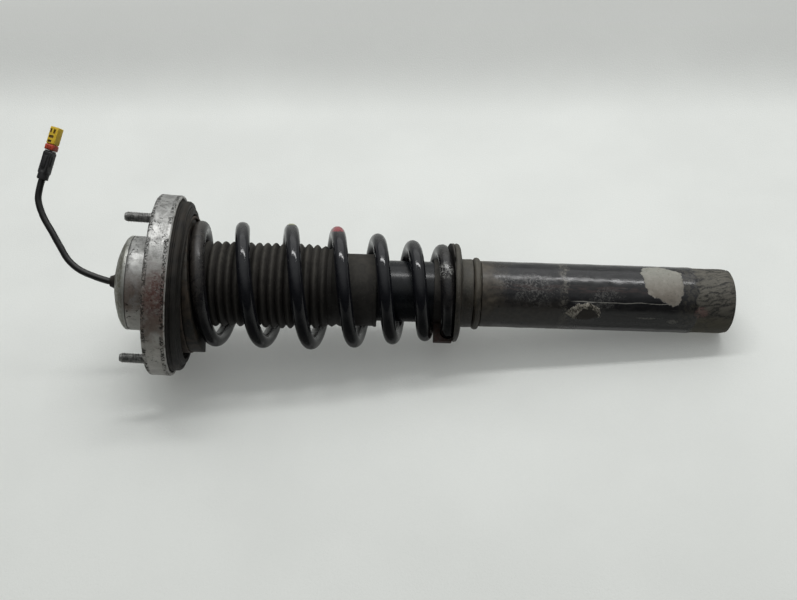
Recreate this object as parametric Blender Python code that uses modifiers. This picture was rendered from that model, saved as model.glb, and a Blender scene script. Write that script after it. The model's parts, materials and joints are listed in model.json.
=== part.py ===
"""Adjustable clamp-type suspension strut: damper, tapered coil spring, gaiter and top mount.

The strut stands upright. +Z runs up along the damper's axis and the origin is the centre of
the damper tube's lower end face. Lengths below are in millimetres and are scaled to metres
when the meshes are made. The top mount's flange leans a few degrees off the damper's axis,
as its rubber lets it.
"""

import math

import bmesh
import bpy
from mathutils import Matrix, Vector

MM = 0.001
COLLECTION = "strut_assembly"
GAP = 0.3                    # clearance between pieces that touch
ROD_STEPS = 18               # facets round the rod and the pieces inside the damper
TUBE_STEPS = 28              # facets round the tube and the pieces on it
MOUNT_STEPS = 48             # facets round the cast housing

# Damper tube and its fittings
TUBE_R = 25.5                # outer radius of the damper tube
TUBE_WALL = 2.2
TUBE_FOOT_Z = 8.0
TUBE_TOP_Z = 318.5
SLEEVE_R = 27.5              # clamp sleeve that the wheel carrier grips, 55 mm across
SLEEVE_TOP_Z = 208.4
BEAD_R = 30.3
BEAD_Z = (208.8, 214.8)
CYLINDER_R = 16.0            # inner radius of the pressure tube
CYLINDER_WALL = 2.0
CYLINDER_Z = (12.5, 299.9)
GUIDE_Z = (300.3, 311.6)
CAP_SKIRT_R = 28.2
CAP_TOP_Z = 322.0

# Spring seat on the tube
SEAT_R = 41.4
SEAT_Z = 224.6
SEAT_THICK = 2.6
SEAT_RIM_Z = 230.6
SEAT_HUB_R = 28.6

# Coil spring: turns are counted downwards from the first crest at azimuth 0
WIRE_R = 5.9
SPRING_UPPER_R = 46.7        # centre line radius of the upper, straight stretch
SPRING_LOWER_R = 33.8        # centre line radius that the taper runs down to
TAPER_Z = (222.0, 352.0)
SPRING_START_TURN = -0.45
SPRING_END_TURN = 6.72
SPRING_CREST_Z = 442.2       # wire centre at turn 0
SPRING_SIDE_SHIFT = 1.1      # the upper turns sit a little to +X of the damper axis
SHIFT_Z = (270.0, 330.0)
PITCH_KNOTS = ((-0.45, 2.0), (-0.20, 4.0), (0.05, 27.0), (0.50, 33.0), (0.80, 40.6),
               (2.07, 40.6), (6.00, 22.4), (6.60, 0.0))

# Gaiter
FOLD_COUNT = 18
FOLD_PITCH = 6.95
FOLD_TOP_Z = 442.3           # first crest of the folds
FOLD_CREST_R = 36.6
FOLD_ROOT_R = 32.4
FOLD_TAPER = 4               # the last folds shrink towards the collar
GAITER_WALL = 1.3
COLLAR_R = 30.1
COLLAR_Z = (294.0, 318.5)

# Upper spring plate, pad and thrust bearing
PLATE_R = 57.3
PLATE_Z = (454.1, 456.6)
PLATE_RIM_Z = 446.8
PLATE_HOLE_R = 28.5
PAD_R = (39.5, 54.5)
BEARING_R = (31.0, 45.5)
BALL_TRACK_R = 38.0
BALL_R = 2.4
BALL_Z = 460.6
BALL_COUNT = 12

# Top mount, whose flange plane leans about its centre
MOUNT_CENTRE = (-1.3, 0.0, 465.0)
LEAN_DEG = 4.8
LEAN_AZIMUTH_DEG = -65.9
FLANGE_R = 75.4
FLANGE_Z = (460.2, 478.6)
WEB_Z = 470.5                # underside of the flange's web
RECESS_R = 72.0
CUP_R = 39.3
CUP_BORE_R = 35.0
CUP_TOP_Z = 498.5
STUD_R = 4.0                 # M8 studs
STUD_CIRCLE_R = 66.0
STUD_TOP_Z = 500.5
STUD_FIRST_DEG = 82.3
STUD_COUNT = 3

# Piston rod and what it carries
ROD_R = 11.0
ROD_SPIGOT_R = 7.0
ROD_BORE_R = 4.0
ROD_SHOULDER_Z = 466.0
ROD_TOP_Z = 491.8
ROD_FOOT_Z = 282.0
VALVE_R = 14.6
VALVE_Z = (240.0, 281.7)
PISTON_R = 15.4
PISTON_Z = (224.0, 239.7)
SPOOL_R = 3.4
SPOOL_Z = (248.0, 266.0)

# Cable and connector
CABLE_R = 2.8
CONNECTOR_FOOT = (83.2, -3.0, 576.5)
CONNECTOR_TILT_DEG = 104.7   # from +Z towards +X
CONNECTOR_SPIN_DEG = -14.0   # about its own axis
BACKSHELL_W = 8.3
HOUSING_W = 7.9
HOUSING_END = 45.3

RUBBER = ("rubber", (0.020, 0.019, 0.018), 0.75, 0.0)
DUSTY_RUBBER = ("dusty_rubber", (0.060, 0.055, 0.050), 0.85, 0.0)
CAST = ("cast_aluminium", (0.48, 0.48, 0.46), 0.50, 0.9)
STEEL = ("machined_steel", (0.42, 0.42, 0.43), 0.35, 1.0)
CHROME = ("hard_chrome", (0.75, 0.76, 0.78), 0.12, 1.0)
ZINC = ("dark_zinc", (0.20, 0.20, 0.19), 0.45, 0.9)
GLOSS_PAINT = ("gloss_black_paint", (0.012, 0.013, 0.015), 0.25, 0.0)
WORN_PAINT = ("worn_black_paint", (0.035, 0.034, 0.033), 0.50, 0.0)
RUSTY = ("dusty_steel", (0.13, 0.10, 0.085), 0.70, 0.3)
BRASS = ("brass", (0.72, 0.53, 0.25), 0.30, 1.0)
COPPER = ("copper_winding", (0.60, 0.28, 0.15), 0.35, 1.0)
FOAM = ("bump_foam", (0.52, 0.47, 0.30), 0.90, 0.0)
PTFE = ("bronze_ptfe", (0.20, 0.16, 0.10), 0.50, 0.0)
NYLON = ("black_nylon", (0.025, 0.025, 0.027), 0.55, 0.0)
YELLOW = ("yellow_plastic", (0.75, 0.55, 0.05), 0.45, 0.0)
RED = ("red_plastic", (0.55, 0.05, 0.04), 0.45, 0.0)


def clear_scene():
    """Empties the scene of its objects."""
    for obj in list(bpy.data.objects):
        bpy.data.objects.remove(obj)


def make_collection(name, hidden=False):
    """A collection linked to the scene."""
    collection = bpy.data.collections.new(name)
    bpy.context.scene.collection.children.link(collection)
    collection.hide_render = hidden
    return collection


clear_scene()
PARTS = make_collection(COLLECTION)
CUTTERS = make_collection("cutters", hidden=True)
MATERIALS = {}


def material(spec):
    """The Principled material of a (name, colour, roughness, metallic) entry."""
    name, colour, roughness, metallic = spec
    if name not in MATERIALS:
        mat = bpy.data.materials.new(name)
        mat.use_nodes = True
        shader = mat.node_tree.nodes["Principled BSDF"]
        shader.inputs["Base Color"].default_value = (*colour, 1.0)
        shader.inputs["Roughness"].default_value = roughness
        shader.inputs["Metallic"].default_value = metallic
        MATERIALS[name] = mat
    return MATERIALS[name]


def smoothstep(low, high, x):
    """0 below low, 1 above high, and an S between them."""
    t = min(1.0, max(0.0, (x - low) / (high - low)))
    return t * t * (3.0 - 2.0 * t)


def add_object(name, mesh, spec, frame=None):
    """Puts a mesh in the assembly; frame is the empty whose axis it is built on."""
    obj = bpy.data.objects.new(name, mesh)
    PARTS.objects.link(obj)
    if spec is not None:
        mesh.materials.append(material(spec))
    if frame is not None:
        obj.parent = frame
    return obj


def as_cutter(obj):
    """Moves an object to the cutters, where it only shapes other pieces."""
    PARTS.objects.unlink(obj)
    CUTTERS.objects.link(obj)
    obj.hide_render = True
    obj.display_type = "WIRE"
    return obj


def combine(obj, other, operation):
    """Adds a Boolean of another object."""
    mod = obj.modifiers.new(operation.lower(), "BOOLEAN")
    mod.operation = operation
    mod.object = other
    mod.solver = "EXACT"


def turned(name, profile, spec, frame=None, steps=ROD_STEPS, closed=True):
    """A solid turned about Z from a profile of (radius, height) points.

    A closed profile is a loop off the axis. An open one starts and ends on the axis.
    """
    points = list(profile)
    area = sum(a[0] * b[1] - b[0] * a[1] for a, b in zip(points, points[1:] + points[:1]))
    if area > 0.0:
        points.reverse()
    mesh = bpy.data.meshes.new(name)
    bm = bmesh.new()
    verts = [bm.verts.new((r * MM, 0.0, z * MM)) for r, z in points]
    for a, b in zip(verts, verts[1:]):
        bm.edges.new((a, b))
    if closed:
        bm.edges.new((verts[-1], verts[0]))
    bm.to_mesh(mesh)
    bm.free()
    obj = add_object(name, mesh, spec, frame)
    screw = obj.modifiers.new("turn", "SCREW")
    screw.axis = "Z"
    screw.steps = steps
    screw.render_steps = steps
    screw.use_merge_vertices = True
    screw.merge_threshold = 0.00001
    return obj


def ring(name, inner, outer, low, high, spec, frame=None, steps=ROD_STEPS, chamfer=0.0):
    """A plain turned ring, with its outer corners chamfered if asked."""
    if chamfer > 0.0:
        profile = [(inner, high), (outer - chamfer, high), (outer, high - chamfer),
                   (outer, low + chamfer), (outer - chamfer, low), (inner, low)]
    else:
        profile = [(inner, high), (outer, high), (outer, low), (inner, low)]
    return turned(name, profile, spec, frame, steps)


def cylinder(name, radius, low, high, spec=None, frame=None, at=(0.0, 0.0), sides=24):
    """A cylinder along Z, standing at a point of the XY plane; six sides make a hexagon."""
    mesh = bpy.data.meshes.new(name)
    bm = bmesh.new()
    bmesh.ops.create_cone(bm, cap_ends=True, cap_tris=False, segments=sides,
                          radius1=radius * MM, radius2=radius * MM, depth=(high - low) * MM)
    bmesh.ops.translate(bm, verts=bm.verts,
                        vec=(at[0] * MM, at[1] * MM, (low + high) * 0.5 * MM))
    bm.to_mesh(mesh)
    bm.free()
    return add_object(name, mesh, spec, frame)


def box(name, width, low, high, spec=None, frame=None, bevel=0.0):
    """A square prism along Z with rounded long and short edges."""
    mesh = bpy.data.meshes.new(name)
    bm = bmesh.new()
    bmesh.ops.create_cube(bm, size=1.0)
    bmesh.ops.scale(bm, verts=bm.verts, vec=(width * MM, width * MM, (high - low) * MM))
    bmesh.ops.translate(bm, verts=bm.verts, vec=(0.0, 0.0, (low + high) * 0.5 * MM))
    bm.to_mesh(mesh)
    bm.free()
    obj = add_object(name, mesh, spec, frame)
    if bevel > 0.0:
        mod = obj.modifiers.new("rounded", "BEVEL")
        mod.width = bevel * MM
        mod.segments = 2
        mod.limit_method = "ANGLE"
    return obj


def loft(name, sections, spec, frame=None):
    """A solid through successive closed sections, with both ends capped."""
    mesh = bpy.data.meshes.new(name)
    bm = bmesh.new()
    rows = [[bm.verts.new(Vector(p) * MM) for p in section] for section in sections]
    count = len(rows[0])
    for here, there in zip(rows, rows[1:]):
        for i in range(count):
            j = (i + 1) % count
            bm.faces.new((here[i], here[j], there[j], there[i]))
    bm.faces.new(rows[0])
    bm.faces.new(list(reversed(rows[-1])))
    bmesh.ops.recalc_face_normals(bm, faces=bm.faces)
    bm.to_mesh(mesh)
    bm.free()
    return add_object(name, mesh, spec, frame)


def wire(name, points, radius, spec):
    """A round wire along points, as a mesh with welded end caps."""
    curve = bpy.data.curves.new(name + "_line", "CURVE")
    curve.dimensions = "3D"
    curve.bevel_depth = radius * MM
    curve.bevel_resolution = 3
    curve.use_fill_caps = True
    spline = curve.splines.new("POLY")
    spline.points.add(len(points) - 1)
    for target, p in zip(spline.points, points):
        target.co = (*(Vector(p) * MM), 1.0)
    guide = bpy.data.objects.new(name + "_line", curve)
    PARTS.objects.link(guide)
    depsgraph = bpy.context.evaluated_depsgraph_get()
    mesh = bpy.data.meshes.new_from_object(guide.evaluated_get(depsgraph))
    bm = bmesh.new()
    bm.from_mesh(mesh)
    bmesh.ops.remove_doubles(bm, verts=bm.verts, dist=0.00001)
    bmesh.ops.recalc_face_normals(bm, faces=bm.faces)
    bm.to_mesh(mesh)
    bm.free()
    mesh.name = name
    obj = add_object(name, mesh, spec)
    obj.matrix_world = guide.matrix_world
    bpy.data.objects.remove(guide)
    return obj


def polar(radius, azimuth):
    """X and Y of a point by radius and azimuth in radians."""
    return radius * math.cos(azimuth), radius * math.sin(azimuth)


def axis_empty(name, location, rotation):
    """An empty that carries the pieces built on an inclined axis."""
    empty = bpy.data.objects.new(name, None)
    PARTS.objects.link(empty)
    empty.matrix_world = Matrix.Translation(Vector(location) * MM) @ rotation
    return empty


def mount_frame():
    """The top mount's frame: heights are still counted from the origin along its own axis."""
    azimuth = math.radians(LEAN_AZIMUTH_DEG)
    hinge = Vector((-math.sin(azimuth), math.cos(azimuth), 0.0))
    lean = Matrix.Rotation(math.radians(LEAN_DEG), 4, hinge)
    below = Matrix.Translation(Vector((0.0, 0.0, -MOUNT_CENTRE[2])) * MM)
    return axis_empty("mount_axis", MOUNT_CENTRE, lean @ below)


def mount_point(height, radius=0.0, azimuth=0.0):
    """World position, in mm, of a point given in the top mount's frame."""
    lean_azimuth = math.radians(LEAN_AZIMUTH_DEG)
    hinge = Vector((-math.sin(lean_azimuth), math.cos(lean_azimuth), 0.0))
    lean = Matrix.Rotation(math.radians(LEAN_DEG), 3, hinge)
    x, y = polar(radius, azimuth)
    return Vector(MOUNT_CENTRE) + lean @ Vector((x, y, height - MOUNT_CENTRE[2]))


def connector_frame():
    """The connector's frame, with Z along the plug and its foot at the cable."""
    tilt = Matrix.Rotation(math.radians(CONNECTOR_TILT_DEG), 4, "Y")
    spin = Matrix.Rotation(math.radians(CONNECTOR_SPIN_DEG), 4, "Z")
    return axis_empty("connector_axis", CONNECTOR_FOOT, tilt @ spin)


# ---------------------------------------------------------------- spring


def spring_pitch(turn):
    """Pitch in mm per turn, straight between the knots."""
    if turn <= PITCH_KNOTS[0][0]:
        return PITCH_KNOTS[0][1]
    for (t0, p0), (t1, p1) in zip(PITCH_KNOTS, PITCH_KNOTS[1:]):
        if turn <= t1:
            return p0 + (p1 - p0) * (turn - t0) / (t1 - t0)
    return PITCH_KNOTS[-1][1]


def spring_height(turn, steps=60):
    """Height of the wire's centre after a number of turns down from the first crest."""
    width = turn / steps
    total = sum(spring_pitch((i + 0.5) * width) for i in range(steps)) * width
    return SPRING_CREST_Z - total


def spring_point(turn):
    """Centre line of the right-handed spring."""
    z = spring_height(turn)
    radius = SPRING_LOWER_R
    radius += (SPRING_UPPER_R - SPRING_LOWER_R) * smoothstep(*TAPER_Z, z)
    x, y = polar(radius, -2.0 * math.pi * turn)
    return x + SPRING_SIDE_SHIFT * smoothstep(*SHIFT_Z, z), y, z


def spring_line(first, last, per_turn=16):
    """Points along the spring from one turn number to another."""
    count = max(3, math.ceil((last - first) * per_turn))
    return [spring_point(first + (last - first) * i / count) for i in range(count + 1)]


def coil_spring():
    wire("coil_spring", spring_line(SPRING_START_TURN, SPRING_END_TURN), WIRE_R, GLOSS_PAINT)


def upper_spring_pad():
    """Split rubber ring whose underside follows the first turn of the spring."""
    first, last, count = -0.48, 0.50, 28
    clearance, lowest = 0.6, 436.3
    bulge, ledge = 56.4, PLATE_RIM_Z - GAP
    top = PLATE_Z[0] - GAP
    sections = []
    for i in range(count + 1):
        turn = first + (last - first) * i / count
        bottom = spring_height(max(turn, SPRING_START_TURN)) + WIRE_R + clearance
        bottom = max(lowest, bottom)
        outer = bulge if bottom < ledge - 0.6 else PAD_R[1] + 0.1
        step = max(ledge, bottom + 0.3)
        azimuth = -2.0 * math.pi * turn
        corners = ((PAD_R[0], bottom), (outer, bottom), (outer, step), (PAD_R[1], step),
                   (PAD_R[1], top), (PAD_R[0], top))
        sections.append([(*polar(r, azimuth), z) for r, z in corners])
    loft("upper_spring_pad", sections, DUSTY_RUBBER)


def lower_spring_pad():
    """Rubber ring with a sleeve round the tube and a ramp under the spring's last turn.

    Above the seat's rim the ramp widens, and it is widest at its thick end.
    """
    first, last, count = 5.45, 6.43, 30
    clearance = 0.9
    inner, sleeve, core, lip, block = TUBE_R + GAP, 27.4, 37.8, 41.4, 42.6
    floor, ledge = SEAT_Z + SEAT_THICK + GAP, SEAT_RIM_Z + GAP
    ramp_top, sleeve_top = 246.3, 247.3
    sections = []
    for i in range(count + 1):
        turn = first + (last - first) * i / count
        ramp = min(ramp_top, spring_height(turn) - WIRE_R - clearance)
        outer = block + (lip - block) * smoothstep(5.62, 5.80, turn)
        if ramp < ledge + 0.6:
            outer = core + 0.1
        step = min(ledge, ramp - 0.3)
        azimuth = -2.0 * math.pi * turn
        corners = ((inner, floor), (core, floor), (core, step), (outer, step), (outer, ramp),
                   (sleeve, ramp), (sleeve, sleeve_top), (inner, sleeve_top))
        sections.append([(*polar(r, azimuth), z) for r, z in corners])
    pad = loft("lower_spring_pad", sections, RUBBER)
    channel = as_cutter(wire("wire_end_channel", spring_line(6.34, 6.82), WIRE_R + 0.9, None))
    combine(pad, channel, "DIFFERENCE")


# ---------------------------------------------------------------- gaiter


def gaiter_outline():
    """Outer points of the gaiter, from its top lip down to the collar's end."""
    points = [(33.0, PLATE_Z[0] - GAP), (34.5, PLATE_Z[0] - GAP), (34.5, 450.6),
              (FOLD_ROOT_R, 449.4), (FOLD_ROOT_R, FOLD_TOP_Z + 0.5 * FOLD_PITCH)]
    for i in range(FOLD_COUNT):
        shrink = smoothstep(FOLD_COUNT - FOLD_TAPER - 1, FOLD_COUNT, i)
        crest = FOLD_CREST_R + (COLLAR_R + 1.4 - FOLD_CREST_R) * shrink
        root = FOLD_ROOT_R + (COLLAR_R - FOLD_ROOT_R) * shrink
        z = FOLD_TOP_Z - i * FOLD_PITCH
        points += [(crest, z), (root, z - 0.5 * FOLD_PITCH)]
    points += [(COLLAR_R, COLLAR_Z[1]), (COLLAR_R, COLLAR_Z[0] + 3.0),
               (COLLAR_R + 0.6, COLLAR_Z[0] + 2.2), (COLLAR_R + 0.6, COLLAR_Z[0])]
    return points


def dust_gaiter():
    """Folding gaiter with a plain inner wall and a collar that grips the tube's cap."""
    inner_upper = FOLD_ROOT_R - GAITER_WALL
    inner_lower = CAP_SKIRT_R + GAP
    outline = gaiter_outline()
    outline += [(inner_lower, COLLAR_Z[0]), (inner_lower, CAP_TOP_Z + 4.0),
                (inner_upper, CAP_TOP_Z + 14.0), (inner_upper, PLATE_Z[0] - GAP)]
    turned("dust_gaiter", outline, DUSTY_RUBBER, steps=22)


# ---------------------------------------------------------------- damper body


def damper_tube():
    inner = TUBE_R - TUBE_WALL
    lip_r, lip_z = 14.0, TUBE_TOP_Z - TUBE_WALL
    turned("damper_tube", [
        (lip_r, TUBE_TOP_Z), (TUBE_R - 1.0, TUBE_TOP_Z), (TUBE_R, TUBE_TOP_Z - 1.0),
        (TUBE_R, TUBE_FOOT_Z), (inner, TUBE_FOOT_Z), (inner, lip_z), (lip_r, lip_z),
    ], GLOSS_PAINT, steps=TUBE_STEPS)


def clamp_sleeve():
    """Sleeve pressed over the tube's lower half, rounded in at its foot."""
    inner = TUBE_R + GAP
    turned("clamp_sleeve", [
        (inner, SLEEVE_TOP_Z), (SLEEVE_R, SLEEVE_TOP_Z), (SLEEVE_R, 6.0), (27.2, 3.4),
        (26.5, 1.6), (inner, 1.0),
    ], WORN_PAINT, steps=TUBE_STEPS)


def bottom_cap():
    """Flat end cap with a pressed ring groove."""
    turned("bottom_cap", [
        (0.0, TUBE_FOOT_Z - GAP), (TUBE_R, TUBE_FOOT_Z - GAP), (TUBE_R, 1.2), (24.4, 0.0),
        (19.0, 0.0), (18.0, 1.5), (15.0, 1.5), (14.0, 0.0), (0.0, 0.0),
    ], WORN_PAINT, steps=TUBE_STEPS, closed=False)


def base_valve():
    """Foot valve that closes the pressure tube and stands on the end cap."""
    turned("base_valve", [
        (3.0, 24.0), (CYLINDER_R - 0.3, 24.0), (CYLINDER_R - 0.3, CYLINDER_Z[0] - GAP),
        (19.0, CYLINDER_Z[0] - GAP), (21.5, TUBE_FOOT_Z), (13.0, TUBE_FOOT_Z),
        (11.0, 14.0), (3.0, 14.0),
    ], STEEL)


def pressure_tube():
    ring("pressure_tube", CYLINDER_R, CYLINDER_R + CYLINDER_WALL, *CYLINDER_Z, STEEL)


def rod_guide():
    low, high = GUIDE_Z
    turned("rod_guide", [
        (ROD_R + GAP, high), (18.0, high), (TUBE_R - TUBE_WALL - GAP, high - 3.0),
        (TUBE_R - TUBE_WALL - GAP, low), (CYLINDER_R - 0.3, low),
        (CYLINDER_R - 0.3, low - 5.0), (ROD_R + GAP, low - 5.0),
    ], STEEL)


def rod_seal():
    turned("rod_seal", [
        (ROD_R + GAP, 315.9), (13.0, 316.0), (17.6, 316.0), (17.6, GUIDE_Z[1] + GAP),
        (ROD_R + GAP, GUIDE_Z[1] + GAP), (ROD_R + 0.8, 314.0),
    ], RUBBER)


def tube_cap():
    """Plastic cap over the tube's top, which strikes the bump stop."""
    inner = TUBE_R + GAP
    turned("tube_cap", [
        (14.0, CAP_TOP_Z), (CAP_SKIRT_R - 1.2, CAP_TOP_Z), (CAP_SKIRT_R, CAP_TOP_Z - 1.2),
        (CAP_SKIRT_R, 301.0), (inner, 301.0), (inner, TUBE_TOP_Z + GAP),
        (14.0, TUBE_TOP_Z + GAP),
    ], NYLON, steps=TUBE_STEPS)


def support_bead():
    """Round bead that carries the spring seat's hub."""
    low, high = BEAD_Z
    inner = TUBE_R + GAP
    turned("support_bead", [
        (inner, high), (SEAT_HUB_R - 0.4, high), (BEAD_R - 0.5, high - 1.3),
        (BEAD_R, 0.5 * (low + high)), (BEAD_R - 0.5, low + 1.3), (SLEEVE_R + 0.6, low),
        (inner, low),
    ], WORN_PAINT, steps=TUBE_STEPS)


def lower_spring_seat():
    """Pressed dish with a hub on the tube and an upturned rim."""
    inner = TUBE_R + GAP
    floor = SEAT_Z + SEAT_THICK
    turned("lower_spring_seat", [
        (39.7, SEAT_RIM_Z - 0.6), (40.6, SEAT_RIM_Z), (SEAT_R, SEAT_RIM_Z - 1.4),
        (SEAT_R, 228.2), (40.8, 226.7), (38.6, 225.6), (34.0, SEAT_Z + 0.2),
        (SEAT_HUB_R + 0.8, SEAT_Z), (SEAT_HUB_R, SEAT_Z - 1.0), (SEAT_HUB_R, BEAD_Z[1] + GAP),
        (inner, BEAD_Z[1] + GAP), (inner, floor), (38.4, floor), (39.7, 228.4),
    ], WORN_PAINT, steps=TUBE_STEPS)


# ---------------------------------------------------------------- piston rod group


def piston_rod():
    """Hollow rod: a threaded spigot above the shoulder, and a bore for the lead."""
    turned("piston_rod", [
        (ROD_BORE_R + 0.8, ROD_TOP_Z), (ROD_SPIGOT_R - 0.8, ROD_TOP_Z),
        (ROD_SPIGOT_R, ROD_TOP_Z - 0.8), (ROD_SPIGOT_R, ROD_SHOULDER_Z),
        (ROD_R, ROD_SHOULDER_Z), (ROD_R, ROD_FOOT_Z), (ROD_BORE_R, ROD_FOOT_Z),
        (ROD_BORE_R, ROD_TOP_Z - 5.0),
    ], CHROME)


def rebound_stop():
    ring("rebound_stop", ROD_R + GAP, 14.6, 283.5, 291.5, RUBBER, chamfer=1.2)


def valve_housing():
    """Body of the electric damping valve, open along its axis, with the piston's spigot."""
    low, high = VALVE_Z
    turned("valve_housing", [
        (ROD_BORE_R, high), (VALVE_R - 1.0, high), (VALVE_R, high - 1.0), (VALVE_R, low),
        (5.0, low), (5.0, 214.5), (2.0, 214.5), (2.0, 245.0), (SPOOL_R + 0.3, 245.0),
        (SPOOL_R + 0.3, 250.5), (12.4, 250.5), (12.4, 275.0), (ROD_BORE_R, 275.0),
    ], STEEL)


def solenoid_coil():
    ring("solenoid_coil", 5.0, 12.1, 251.0, 274.6, COPPER, chamfer=0.8)


def valve_spool():
    """Sliding spool in the valve's bore."""
    low, high = SPOOL_Z
    turned("valve_spool", [
        (0.0, high), (SPOOL_R, high), (SPOOL_R, 262.0), (2.4, 261.0), (2.4, 255.0),
        (SPOOL_R, 254.0), (SPOOL_R, low), (0.0, low),
    ], STEEL, closed=False)


def piston():
    low, high = PISTON_Z
    turned("piston", [
        (5.3, high), (PISTON_R, high), (PISTON_R, high - 4.2), (PISTON_R - 1.2, high - 4.2),
        (PISTON_R - 1.2, low + 4.2), (PISTON_R, low + 4.2), (PISTON_R, low), (5.3, low),
    ], STEEL)
    ring("piston_band", PISTON_R - 0.9, PISTON_R + 0.3, low + 4.5, high - 4.5, PTFE)


def hex_nut(name, across_flats, bore, low, high, spec):
    """A hexagon nut with a round bore."""
    nut = cylinder(name, across_flats / math.sqrt(3.0), low, high, spec, sides=6)
    hole = as_cutter(cylinder(name + "_bore", bore, low - 1.0, high + 1.0))
    combine(nut, hole, "DIFFERENCE")


def bump_stop():
    """Foam spring on the rod with two waists."""
    inner = ROD_R + GAP
    turned("bump_stop", [
        (inner, 451.8), (23.0, 451.8), (24.2, 446.0), (24.2, 437.0), (20.0, 431.0),
        (23.6, 425.0), (23.6, 420.0), (18.5, 414.0), (20.5, 408.0), (18.0, 402.0),
        (inner, 400.0),
    ], FOAM)


def bump_stop_cup():
    inner = ROD_R + GAP
    turned("bump_stop_cup", [
        (inner, 454.2), (25.4, 454.2), (26.2, 453.4), (26.2, 443.0), (24.7, 443.0),
        (24.7, 452.1), (inner, 452.1),
    ], ZINC)


def rod_stack():
    """Spacer, washers, sleeve and nut that clamp the mount's core to the rod."""
    ring("rod_spacer", ROD_R + GAP, 15.0, 454.5, 465.7, STEEL)
    ring("lower_washer", ROD_SPIGOT_R + GAP, 27.5, ROD_SHOULDER_Z + GAP, 468.5, ZINC, chamfer=0.6)
    ring("mount_core", ROD_SPIGOT_R + GAP, 16.0, 468.8, 482.6, STEEL, chamfer=0.6)
    ring("upper_washer", ROD_SPIGOT_R + GAP, 24.0, 482.9, 484.9, ZINC, chamfer=0.6)
    hex_nut("rod_nut", 21.0, ROD_SPIGOT_R + GAP, 485.2, 491.2, ZINC)


# ---------------------------------------------------------------- bearing and plate


def thrust_bearing():
    """Two races with a shallow track each, and a cage with its balls between them."""
    inner, outer = BEARING_R
    track, play = 2.3, 0.6
    low, high = BALL_Z - 1.7, BALL_Z + 1.7
    turned("lower_bearing_race", [
        (inner, low), (BALL_TRACK_R - track, low), (BALL_TRACK_R, BALL_Z - BALL_R - play),
        (BALL_TRACK_R + track, low), (outer, low), (outer, PLATE_Z[1] + GAP),
        (inner, PLATE_Z[1] + GAP),
    ], STEEL, steps=24)
    turned("upper_bearing_race", [
        (inner, 464.6), (outer, 464.6), (outer, high), (BALL_TRACK_R + track, high),
        (BALL_TRACK_R, BALL_Z + BALL_R + play), (BALL_TRACK_R - track, high), (inner, high),
    ], STEEL, steps=24)
    cage = ring("bearing_cage", inner + 2.5, outer - 2.5, BALL_Z - 0.9, BALL_Z + 0.9, NYLON,
                steps=24)
    mesh = bpy.data.meshes.new("bearing_balls")
    bm = bmesh.new()
    for i in range(BALL_COUNT):
        x, y = polar(BALL_TRACK_R, 2.0 * math.pi * (i + 0.5) / BALL_COUNT)
        bmesh.ops.create_icosphere(bm, subdivisions=1, radius=BALL_R * MM,
                                   matrix=Matrix.Translation(Vector((x, y, BALL_Z)) * MM))
    bm.to_mesh(mesh)
    bm.free()
    balls = as_cutter(add_object("bearing_balls", mesh, None))
    combine(cage, balls, "UNION")


def spring_plate():
    """Pressed upper spring plate with a turned-down rim."""
    floor, top = PLATE_Z
    turned("spring_plate", [
        (PLATE_HOLE_R, top), (PLATE_R - 2.2, top), (PLATE_R, top - 2.2),
        (PLATE_R, PLATE_RIM_Z), (PLATE_R - 2.3, PLATE_RIM_Z), (PLATE_R - 2.3, floor),
        (PLATE_HOLE_R, floor),
    ], RUSTY, steps=32)


# ---------------------------------------------------------------- top mount


def web_cutter(frame):
    """The housing's web and all above it, grown by the clearance."""
    return as_cutter(cylinder("web_space", 60.0, WEB_Z - GAP, WEB_Z + 30.0, frame=frame))


def bearing_support(frame):
    """Wedge ring between the leaning web and the bearing."""
    support = ring("bearing_support", 32.0, 47.5, 464.9, 476.0, CAST, steps=24)
    combine(support, web_cutter(frame), "DIFFERENCE")


def stud_azimuth(index):
    return math.radians(STUD_FIRST_DEG + 360.0 / STUD_COUNT * index)


def mount_housing(frame):
    """Cast flange ring with a cup for the rubber and holes for the studs."""
    low, high = FLANGE_Z
    housing = turned("mount_housing", [
        (CUP_BORE_R, CUP_TOP_Z), (CUP_R - 1.2, CUP_TOP_Z), (CUP_R, CUP_TOP_Z - 1.2),
        (CUP_R, high + 2.5), (CUP_R + 2.5, high), (FLANGE_R - 1.2, high),
        (FLANGE_R, high - 1.2), (FLANGE_R, low + 1.0), (FLANGE_R - 1.0, low),
        (RECESS_R + 1.0, low), (RECESS_R, low + 1.5), (RECESS_R, WEB_Z), (CUP_BORE_R, WEB_Z),
    ], CAST, frame, steps=MOUNT_STEPS)
    for i in range(STUD_COUNT):
        at = polar(STUD_CIRCLE_R, stud_azimuth(i))
        hole = cylinder(f"stud_hole_{i + 1}", STUD_R + GAP, WEB_Z - 1.0, high + 1.0, None,
                        frame, at, sides=16)
        combine(housing, as_cutter(hole), "DIFFERENCE")


def mount_studs(frame):
    """Pressed-in studs with a flat round head under the web."""
    head_r, head_z = 5.4, 467.4
    for i in range(STUD_COUNT):
        stud = turned(f"mount_stud_{i + 1}", [
            (0.0, STUD_TOP_Z), (STUD_R - 1.0, STUD_TOP_Z), (STUD_R, STUD_TOP_Z - 1.2),
            (STUD_R, WEB_Z - GAP), (head_r, WEB_Z - GAP), (head_r, head_z), (0.0, head_z),
        ], ZINC, frame, steps=14, closed=False)
        x, y = polar(STUD_CIRCLE_R, stud_azimuth(i))
        stud.location = (x * MM, y * MM, 0.0)


def dust_seal(frame):
    """Stepped rubber ring in the flange's recess, which shrouds the spring plate."""
    turned("dust_seal", [
        (60.6, 466.9), (71.6, 466.9), (71.6, 462.0), (71.0, 454.6), (69.4, 452.6),
        (65.2, 452.0), (64.4, 450.0), (60.6, 450.0),
    ], RUBBER, frame, steps=32)


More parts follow.
